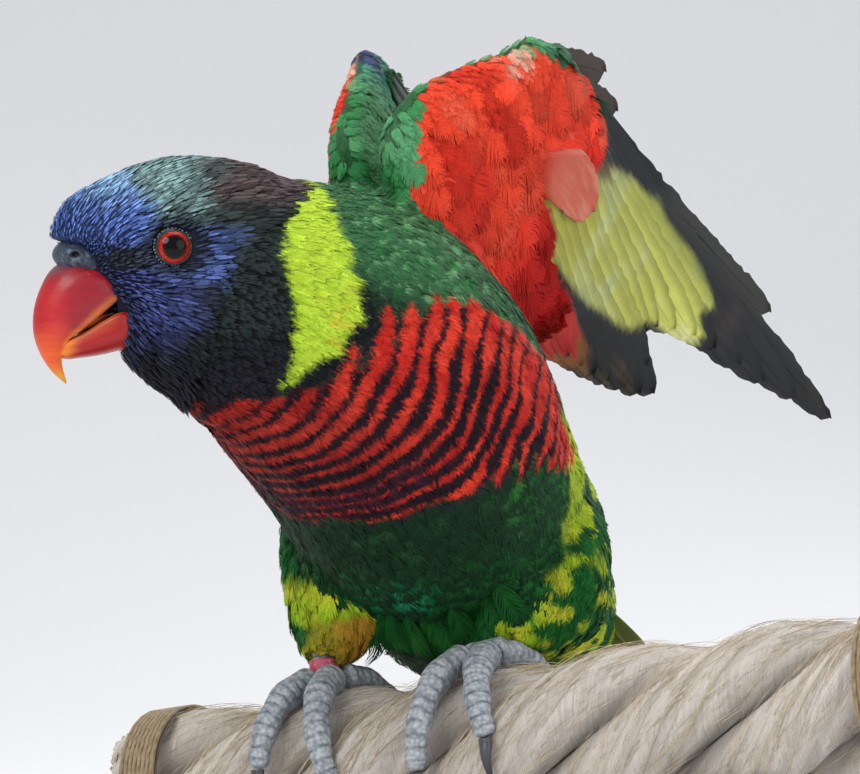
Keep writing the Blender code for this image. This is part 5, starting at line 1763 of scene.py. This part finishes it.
def make_cere():
    """The bare swelling over the bill, with a round nostril on each side."""
    polar = np.linspace(0.02, np.pi - 0.02, 60)[:, None]
    turn = full_turn(90)
    ahead = -np.cos(polar) + 0 * turn
    left = np.sin(polar) * np.cos(turn)
    up = np.sin(polar) * np.sin(turn)
    f0, z0 = CERE_CENTRE
    wide_f, wide_l, wide_z = CERE_SIZE
    scale = 1.0
    for sign in (-1, 1):
        away = np.sqrt((ahead - 0.28) ** 2 + (left - sign * 0.88) ** 2 + (up + 0.06) ** 2)
        scale = scale - 0.2 * ease(0.24, 0.12, away) + 0.035 * ease(0.42, 0.28, away) * ease(0.2, 0.27, away)
    scale = scale - 0.05 * ease(0.12, 0, np.abs(left)) * ease(0.2, 0.6, up)
    f = f0 + wide_f * ahead * scale
    z = z0 + wide_z * up * scale - 0.5 * np.maximum(16.5 - f, 0)
    grid = in_head(f, wide_l * left * scale, z)
    tint = layered(
        paint(56, 68, 84), (ease(0, 0.7, cloud(grid, 0.9, 26)) * 0.7, paint(122, 134, 152)),
        # the nostrils near-black where the cere dips in: painted shade in the holes
        (1 - ease(0.82, 0.93, scale), paint(14, 14, 16)),
    )
    grid = grid + unit(grid - in_head(f0, 0, z0)) * (cloud(grid, 0.7, 20) * 0.05)[..., None]
    heap = Heap()
    heap.add_closed(grid, in_head((f0 - wide_f, f0 + wide_f), 0, z0), tint, [paint(58, 68, 80)] * 2)
    heap.place("cere", bare_skin_finish("cere_skin", 0.0005, 0.0003), "cere_skin", "cere")


def make_eyes():
    """Ball with a red iris round a dark pupil; lids of small beads round it."""
    gloss = wet_finish("eye_gloss")
    lids = bare_skin_finish("eyelid_skin", 0.0004, 0.00012)
    black, rear = paint(6, 5, 6), paint(20, 16, 16)
    polar = np.radians(np.concatenate((np.linspace(1.2, 60, 60), np.linspace(64, 178, 24))))[:, None]
    turn = full_turn(72)
    high = np.cos(polar) * EYE_RADIUS
    out = np.sin(polar) * EYE_RADIUS + 0 * turn
    threads = np.sin(turn * 34) * 0.5 + np.sin(turn * 57 + 1) * 0.5
    iris = layered(
        paint(160, 28, 20), (ease(-0.4, 0.8, threads) * ease(3.1, 2.5, out), paint(196, 48, 30)),
        (ease(2.85, 3.1, out), paint(110, 16, 12)),
    )
    colour = layered(
        black, (ease(1.86, 2, out), blend(paint(46, 18, 14), iris, ease(2.2, 2.42, out))),
        (ease(3.08, 3.22, out), paint(24, 16, 16)), (ease(50, 62, np.degrees(polar) + 0 * turn), rear),
    )
    rim = full_turn(96)
    lid_height = np.sin(rim) * np.where(np.sin(rim) > 0, 0.93, 0.97)
    for side, sign in (("left", 1), ("right", -1)):
        rings = in_head(out * np.cos(turn), sign * (EYE_OUT + high), EYE_UP + out * np.sin(turn))
        ends = in_head(0, sign * (EYE_OUT + EYE_RADIUS * np.array((1.0, -1.0))), EYE_UP)
        heap = Heap()
        heap.add_closed(rings, ends, colour, (black, rear), flip=sign < 0)
        heap.place(f"eye_{side}", gloss, "eye_gloss", f"eye_{side}")

        # lids: a rim that lies on the ball, a ring of beads, and a fold outside it
        heap = Heap()
        for radius, thick, sink, tone in ((3.22, 0.24, 0.10, 0.3), (4.0, 0.34, -0.75, 0.55)):
            surface = math.sqrt(EYE_RADIUS**2 - radius**2)
            path = in_head(radius * np.cos(rim), sign * (EYE_OUT + surface + sink), EYE_UP + radius * lid_height)
            heap.add(*tube(np.concatenate((path, path[:1])), thick, 8, caps=False), paint(64, 76, 84) * tone)
        for k in range(LID_BEADS):
            angle = 2 * math.pi * (k + 0.3 * draw.random()) / LID_BEADS
            radius = 3.62 + 0.05 * draw.normal()
            surface = math.sqrt(EYE_RADIUS**2 - radius**2)
            spot = in_head(
                radius * math.cos(angle), sign * (EYE_OUT + surface + 0.1), EYE_UP + radius * math.sin(angle) * 0.95,
            )
            size = 0.24 * draw.uniform(0.85, 1.15)
            path = spot + np.outer(np.array((-0.9, -0.6, 0.0, 0.6, 0.9)) * size, HEAD_LEFT * sign)
            bead = tube(path, np.array((0.4, 0.8, 1.0, 0.8, 0.4)) * size, 8)
            heap.add(*bead, paint(98, 112, 124) * draw.uniform(0.8, 1.15))
        heap.place(f"eyelids_{side}", lids, "head_feathers", "head")


make_upper_bill()
make_lower_bill()
make_tongue()
make_cere()
make_eyes()


# ---- legs and feet ----
ROPE_REACH = STRAND_CENTRE + STRAND_RADIUS
TOE_RADIUS = 2.6
# where it starts and ends round the rope in degrees, which way it splays, its share of the full length
TOES = (
    ("front_inner", 6, 84, 1, 0.92), ("front_outer", 6, 92, -1, 1), ("back_inner", -6, -62, 1, 0.7),
    ("back_outer", -6, -78, -1, 0.85),
)
FEET = {"left": 18.0, "right": -17.5}  # along the rope
scale_finish = bare_skin_finish("foot_scales", 0.0009, 0.0003, 0.55)
claw_finish = horn_finish("claw_horn", 0.34, 0.15)


def scaly_tube(path, radii, around, scutes, out, seed, knuckles=0):
    """A toe or shank: broad scutes over its upper side, small round scales elsewhere, wrinkles at knuckles."""
    s = np.linspace(0, 1, len(path))[:, None]
    swell = 1 + 0.07 * np.cos(2 * np.pi * s[:, 0] * knuckles) * (knuckles > 0)
    places, _ = tube(path, radii * swell, around, side=out)
    turn = full_turn(around)
    facing = np.cos(turn)[None, :]
    saw = (s * scutes + 0.14 * np.sin(turn + 4.0 * s) * facing) % 1.0
    step = ease(0, 0.25, saw) * ease(1, 0.82, saw)
    top = ease(-0.25, 0.15, facing)
    grid = places[:-2].reshape(len(path), around, 3)
    small = cloud(grid, 0.75, seed)
    rise = top * step * 0.2 + (1 - top) * ease(-0.3, 0.5, small) * 0.08
    grid = grid + unit(grid - path[:, None]) * rise[..., None]
    # darker in the grooves between scutes and scales: painted shade in the creases
    groove = np.where(top > 0.5, 1 - step, ease(0.3, -0.4, small))
    patches = ease(-0.5, 0.5, cloud(grid, 3.2, seed + 5))
    tint = layered(
        paint(148, 156, 164), (groove * (0.3 + 0.5 * top), paint(62, 68, 80)),
        # the upper side's raised scutes paler: painted highlight; the pale patches here and there are the skin's own
        (top * step * 0.35 + patches * 0.3, paint(186, 190, 190)),
    )
    heap = Heap()
    heap.add_closed(grid, places[-2:], tint, [paint(110, 124, 140)] * 2)
    return heap


def make_toe_and_claw(side, foot, name, first, last, splay, share):
    way = -splay if side == "right" else splay
    at = np.linspace(0, 1, 64)
    radius = TOE_RADIUS * (1.1 - 0.42 * at) * (0.9 + 0.1 * share)
    angle = first + (last - first) * at * share
    along = foot + way * (2.5 + 5.5 * at)
    path = on_rope(along, angle, ROPE_REACH + radius * 0.72 + 0.9 * np.sin(np.pi * at))
    out = unit(path - on_rope(along, angle, 0))[0]
    end = np.clip((1 - at) / 0.06, 0, 1) ** 0.5 * np.clip(at / 0.04, 0.3, 1) ** 0.5
    toe = scaly_tube(path, radius * (0.35 + 0.65 * end) * 1.13, 36, 13 * share, out, 60, 3)
    toe.place(f"toe_{side}_{name}", scale_finish, "foot_scales", f"toe_{side}_{name}")
    at = np.linspace(-0.12, 1, 22)
    turned = first + (last - first) * share + (1 if last > first else -1) * (4.0 + 24.0 * at)
    lift = 1.6 + 0.9 * np.sin(np.pi * np.clip(at, 0, 1)) - 0.5 * at
    path = on_rope(foot + way * 8.0, turned, ROPE_REACH + lift)
    places, faces = tube(path, 1.2 * np.clip(1 - 0.9 * at, 0.1, 1) ** 0.8, 16, flat=1.15)
    shade = blend(paint(70, 72, 78), paint(34, 34, 38), ease(0.2, 1, np.repeat(at, 16)))
    claw = Heap()
    claw.add(places, faces, np.concatenate((shade, [paint(40, 40, 44)] * 2)))
    claw.place(f"claw_{side}_{name}", claw_finish, "claw_horn", f"claw_{side}_{name}")


def make_feet():
    for side, foot in FEET.items():
        for toe in TOES:
            make_toe_and_claw(side, foot, *toe)
        hub = on_rope(foot, 0, ROPE_REACH + 2.8)
        ankle = np.array(ANKLES[side])
        away = unit(ankle - hub)
        path = hub + np.linspace(-1.0, np.linalg.norm(ankle - hub) + 4.5, 40)[:, None] * away
        shank = scaly_tube(path, np.linspace(2.35, 2.0, 40), 32, 6, HEADING, 61)
        shank.place(f"shank_{side}", scale_finish, "foot_scales", f"shank_{side}")
        if side == "right":
            make_leg_ring(ankle + (hub - ankle) * 0.15, away)


def make_leg_ring(centre, away):
    turn = np.linspace(0, 2 * np.pi, 65)[:, None]
    turn[-1] = 0.0
    across = unit(np.cross(away, UP))
    out = across * np.cos(turn) + np.cross(away, across) * np.sin(turn)
    profile = ((-1.5, 2.5), (-1.5, 2.95), (-1.3, 3.08), (1.3, 3.08), (1.5, 2.95), (1.5, 2.5))
    rings = np.stack([centre + away * s + out * r for s, r in profile], axis=1)
    heap = Heap()
    heap.add(rings, [grid_faces(65, len(profile), True)], paint(196, 96, 116))
    heap.place("leg_ring", ring_finish("leg_ring_plastic"), "leg_ring_plastic", "leg_ring", smooth=False)


make_feet()


# ---- rope perch ----
STRANDS = ("perch_strand_a", "perch_strand_b", "perch_strand_c")


def strand_turn(strand, along):
    """The angle round the rope, in degrees, of the middle of a strand's outside."""
    return STRAND_TURN + 120 * strand - 360 * along / ROPE_LAY


def strand_reach(angle):
    """How far a strand's outside is from the rope's middle, at an angle in degrees from its own middle."""
    turn = np.radians(angle)
    inside = np.maximum(STRAND_RADIUS**2 - (STRAND_CENTRE * np.sin(turn)) ** 2, 0)
    return STRAND_CENTRE * np.cos(turn) + np.sqrt(inside)


def make_strand(strand, name, finish):
    """Many yarns laid the other way: a bulge outside, two walls towards the rope's middle inside."""
    steps, around, edge, bulge, core = 420, 96, 59.0, 0.62, 0.6
    along = np.linspace(ROPE_FROM, ROPE_TO, steps)[:, None]
    spot = np.linspace(0, 1, around, endpoint=False)[None, :]
    outer = np.clip(spot / bulge, 0, 1)
    angle = -edge + 2 * edge * outer
    reach = strand_reach(angle)
    back = np.clip((spot - bulge) / (1 - bulge), 0, 1)
    reach = np.where(spot > bulge, core + (reach - core) * np.abs(back * 2 - 1), reach)
    angle = np.where(spot > bulge, np.where(back < 0.5, edge, -edge), angle)
    yarn = np.sin(outer * 2 * np.pi * 4.6 + along * 2 * np.pi / 21.0)
    frayed = mottle((along, outer * 22, strand * 50), 3, 70)
    thread = mottle((along * 0.35 + outer * 6, outer * 46 + along * 0.8, strand * 50), 1, 71)
    relief = (0.32 * yarn + 0.22 * frayed + 0.22 * thread) * (spot <= bulge)
    sag = ease(edge, edge - 14, np.abs(angle)) * 0.25
    rings = on_rope(along, strand_turn(strand, along) + angle, reach + relief - 0.3 + sag)
    lay = np.stack(np.broadcast_arrays(along / 10.0, outer * 2.2 + strand * 3.0), axis=-1).reshape(-1, 2)
    # darker towards the valleys between strands and in the yarns' grooves: painted shade
    valley_shade = ease(edge - 20, edge, np.abs(angle)) * 0.5 + 0.12 * ease(0.2, -0.8, yarn)
    ends = np.array((ROPE_FROM, ROPE_TO))
    heap = Heap()
    heap.add_closed(
        rings, on_rope(ends, strand_turn(strand, ends), 8), (1 - valley_shade)[..., None] * np.ones(3),
        np.full((2, 3), 0.8), lay=np.concatenate((lay, [[0, 0], [1, 1]])),
    )
    heap.place(name + "_yarns", finish, "rope_fibre", name)


def add_stray_fibres(heap, strand, number=1500):
    own = np.random.default_rng(80 + strand)
    start = own.uniform(ROPE_FROM + 1, ROPE_TO - 1, number)[:, None]
    face = own.uniform(-52, 52, number)[:, None]
    length = own.uniform(4.0, 13.0, number)[:, None]
    stand = own.uniform(0.1, 1.0, number)[:, None] ** 2.5 * 1.5
    t = np.linspace(0, 1, 6)[None, :]
    slant = own.choice((-1.0, 1.0), number)[:, None] * own.uniform(0.6, 1.1, number)[:, None]
    along = start + length * t
    angle = np.clip(face + slant * t * length * 1.6, -56, 56)
    height = strand_reach(face) + 0.12 + stand * np.sin(np.pi * t * 0.8) + own.normal(0, 0.08, (number, 6))
    turned = strand_turn(strand, along) + angle
    lines = on_rope(np.minimum(along, ROPE_TO), turned, np.minimum(height, ROPE_REACH + 0.9))
    aside = unit(np.cross(np.gradient(lines, axis=1), own.normal(0, 1, (number, 1, 3))))
    aside = aside * (0.085 * (1 - 0.7 * t))[..., None]
    ribbons = np.stack((lines - aside, lines + aside), axis=2)
    shade = own.uniform(0.75, 1.15, (number, 1, 1)) * paint(206, 190, 162) * np.ones((12, 1))
    heap.add(ribbons, [ribbon_faces(number, 5)], np.clip(shade, 0, 1).reshape(-1, 3))


def make_rope():
    """Three strands laid round each other, with loose fibres standing out of them."""
    finish = rope_finish("rope_fibre")
    loose = Heap()
    for strand, name in enumerate(STRANDS):
        make_strand(strand, name, finish)
        add_stray_fibres(loose, strand)
    loose.place("loose_fibres", fibre_finish("loose_fibre"), "rope_fibre", *STRANDS)


def make_whippings():
    """Twine wound side by side round each end of the rope."""
    finish = fibre_finish("whipping_twine")
    turns, around = 8, 10
    for name, centre in (("left", ROPE_FROM + 7.5), ("right", ROPE_TO - 7.5)):
        t = np.linspace(0, turns, turns * 60)
        along = centre - 4.5 + 9.0 / (turns + 0.6) * (t + 0.3)
        path = on_rope(along, t * 360, ROPE_REACH + 0.35 + 0.62)
        places, faces = tube(path, 0.55, around)
        twist = np.tile(np.arange(around), len(path)) / around + np.repeat(t * 9, around)
        groove = 0.8 + 0.2 * np.cos(2 * np.pi * 3 * twist)
        radial = unit(places[:-2] - np.repeat(path, around, axis=0))
        places[:-2] += radial * (groove[:, None] - 1) * 0.25
        heap = Heap()
        # each turn darker in its twist grooves: painted shade
        heap.add(places, faces, np.concatenate((groove, (0.8, 0.8)))[:, None] * paint(168, 148, 116))
        # the dark sheet under the twine, its two faces apart: painted shade in the gaps between the turns
        cells = grid_faces(5, 64, True)
        for radius, faces in ((ROPE_REACH + 0.45, cells), (ROPE_REACH + 0.38, cells[:, ::-1])):
            spots = centre + np.linspace(-4.3, 4.3, 5)[:, None]
            heap.add(on_rope(spots, np.linspace(0, 360, 64, endpoint=False), radius), [faces], paint(90, 76, 58))
        heap.place(f"whipping_{name}", finish, "whipping_twine", f"perch_whipping_{name}")


def cut_yarns(number=150):
    """The rope's sawn ends: yarns of every strand standing a little out of the cut."""
    axis = on_rope(0, 0, 0)
    east, north = on_rope(0, 0, 1) - axis, on_rope(0, 90, 1) - axis
    ring = np.radians(np.arange(0, 360, 60))[:, None]
    circle = east * np.cos(ring) + north * np.sin(ring)
    own = np.random.default_rng(90)
    faces = copied_faces(grid_faces(4, 6, True), number, 24)
    heap = Heap()
    for strand in range(3):
        for end, sign in ((ROPE_FROM, -1.0), (ROPE_TO, 1.0)):
            face = own.uniform(-56, 56, number)
            reach = (strand_reach(face) - 0.6) * np.sqrt(own.uniform(0.004, 1, number))
            middle = on_rope(end, strand_turn(strand, end) + face, reach)
            size = own.uniform(0.45, 0.9, (number, 1, 1, 1)) * np.array((1.0, 1.0, 0.72, 0.0))[:, None, None]
            out = own.uniform(0.3, 1.2, (number, 1)) - np.array((1.4, 0.2, 0.0, -0.06))
            lean = own.normal(0, 0.25, (number, 1, 3)) * np.maximum(out + 0.5, 0)[..., None]
            places = middle[:, None, None, :] + circle * size
            places = places + (ROPE_WAY * sign * out[..., None] + lean)[:, :, None, :]
            # each yarn darker at its base in the cut: painted shade among the yarns; its tone also differs at random
            shade = own.uniform(0.72, 1.1, (number, 1, 1, 1)) * np.array((0.55, 0.8, 1.0, 1.0))[:, None, None]
            tint = np.broadcast_to(shade * paint(216, 203, 182), places.shape)
            heap.add(places, [faces if sign > 0 else faces[:, ::-1]], np.clip(tint, 0, 1).reshape(-1, 3))
    heap.place("rope_cut_ends", fibre_finish("cut_yarn"), "rope_fibre", *STRANDS)


make_rope()
cut_yarns()
make_whippings()


# ---- the display stand keeps its solids; they get their wood and steel ----
def finish_stand():
    wood = wood_finish("oiled_wood")
    steel = steel_finish("brushed_steel")
    for name in ("stand_base", "stand_rod_left", "stand_rod_right", "stand_saddle_left", "stand_saddle_right"):
        set_finish(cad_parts[name].data, wood if name == "stand_base" else steel)


finish_stand()


# ---- studio ----
LAMPS_AIM = (0.0, -0.02, 0.16)


def link(name, data):
    holder = bpy.data.objects.new(name, data)
    bpy.context.scene.collection.objects.link(holder)
    return holder


def make_studio():
    """A pale floor that curves up behind into a pale wall, soft lamps and the camera."""
    turns = np.radians(90 * np.arange(1, 13) / 12)
    bend = [(1.0 + 1.2 * math.sin(turn), 1.2 * (1 - math.cos(turn))) for turn in turns]
    profile = [(-3.0, 0.0), (1.0, 0.0), *bend, (2.2, 4.5)]
    places = np.array([(x * 1000, y * 1000, z * 1000 - 0.2) for y, z in profile for x in (-3.5, 3.5)])
    sweep = link("sweep", make_mesh("sweep", places, [grid_faces(len(profile), 2)[:, ::-1]]))
    sweep.data.materials.append(floor_finish("pale_sweep", np.array((0.86, 0.86, 0.865))))
    for name, place, size, power, colour in (
        ("key", (-0.75, -1.15, 1.05), 0.9, 14.0, (1.0, 0.98, 0.95)),
        ("fill", (1.1, -1.0, 0.55), 1.2, 5.5, (0.95, 0.97, 1.0)),
        ("top", (0.1, 0.1, 1.5), 1.2, 10.5, (1.0, 1.0, 1.0)),
        ("back", (0.7, 0.95, 0.8), 0.7, 6.0, (1.0, 1.0, 1.0)),
    ):
        lamp = bpy.data.lights.new(name, "AREA")
        lamp.shape, lamp.size, lamp.energy, lamp.color = "DISK", size, power, colour
        holder = link(name, lamp)
        holder.location = place
        holder.rotation_euler = (Vector(LAMPS_AIM) - Vector(place)).to_track_quat("-Z", "Y").to_euler()
    world = bpy.data.worlds.new("studio_air")
    bpy.context.scene.world = world
    world.use_nodes = True
    air = world.node_tree.nodes["Background"]
    air.inputs["Color"].default_value = (0.93, 0.95, 1.0, 1.0)
    air.inputs["Strength"].default_value = 0.55
    lens = bpy.data.cameras.new("camera")
    lens.sensor_width, lens.lens, lens.clip_start = 36.0, 156.98, 0.01
    camera = link("camera", lens)
    camera.location = (0.0, -0.775, 0.175)
    camera.rotation_euler = (math.pi / 2, 0.0, 0.0)
    bpy.context.scene.camera = camera
    bpy.context.scene.view_settings.view_transform = "Standard"


make_studio()
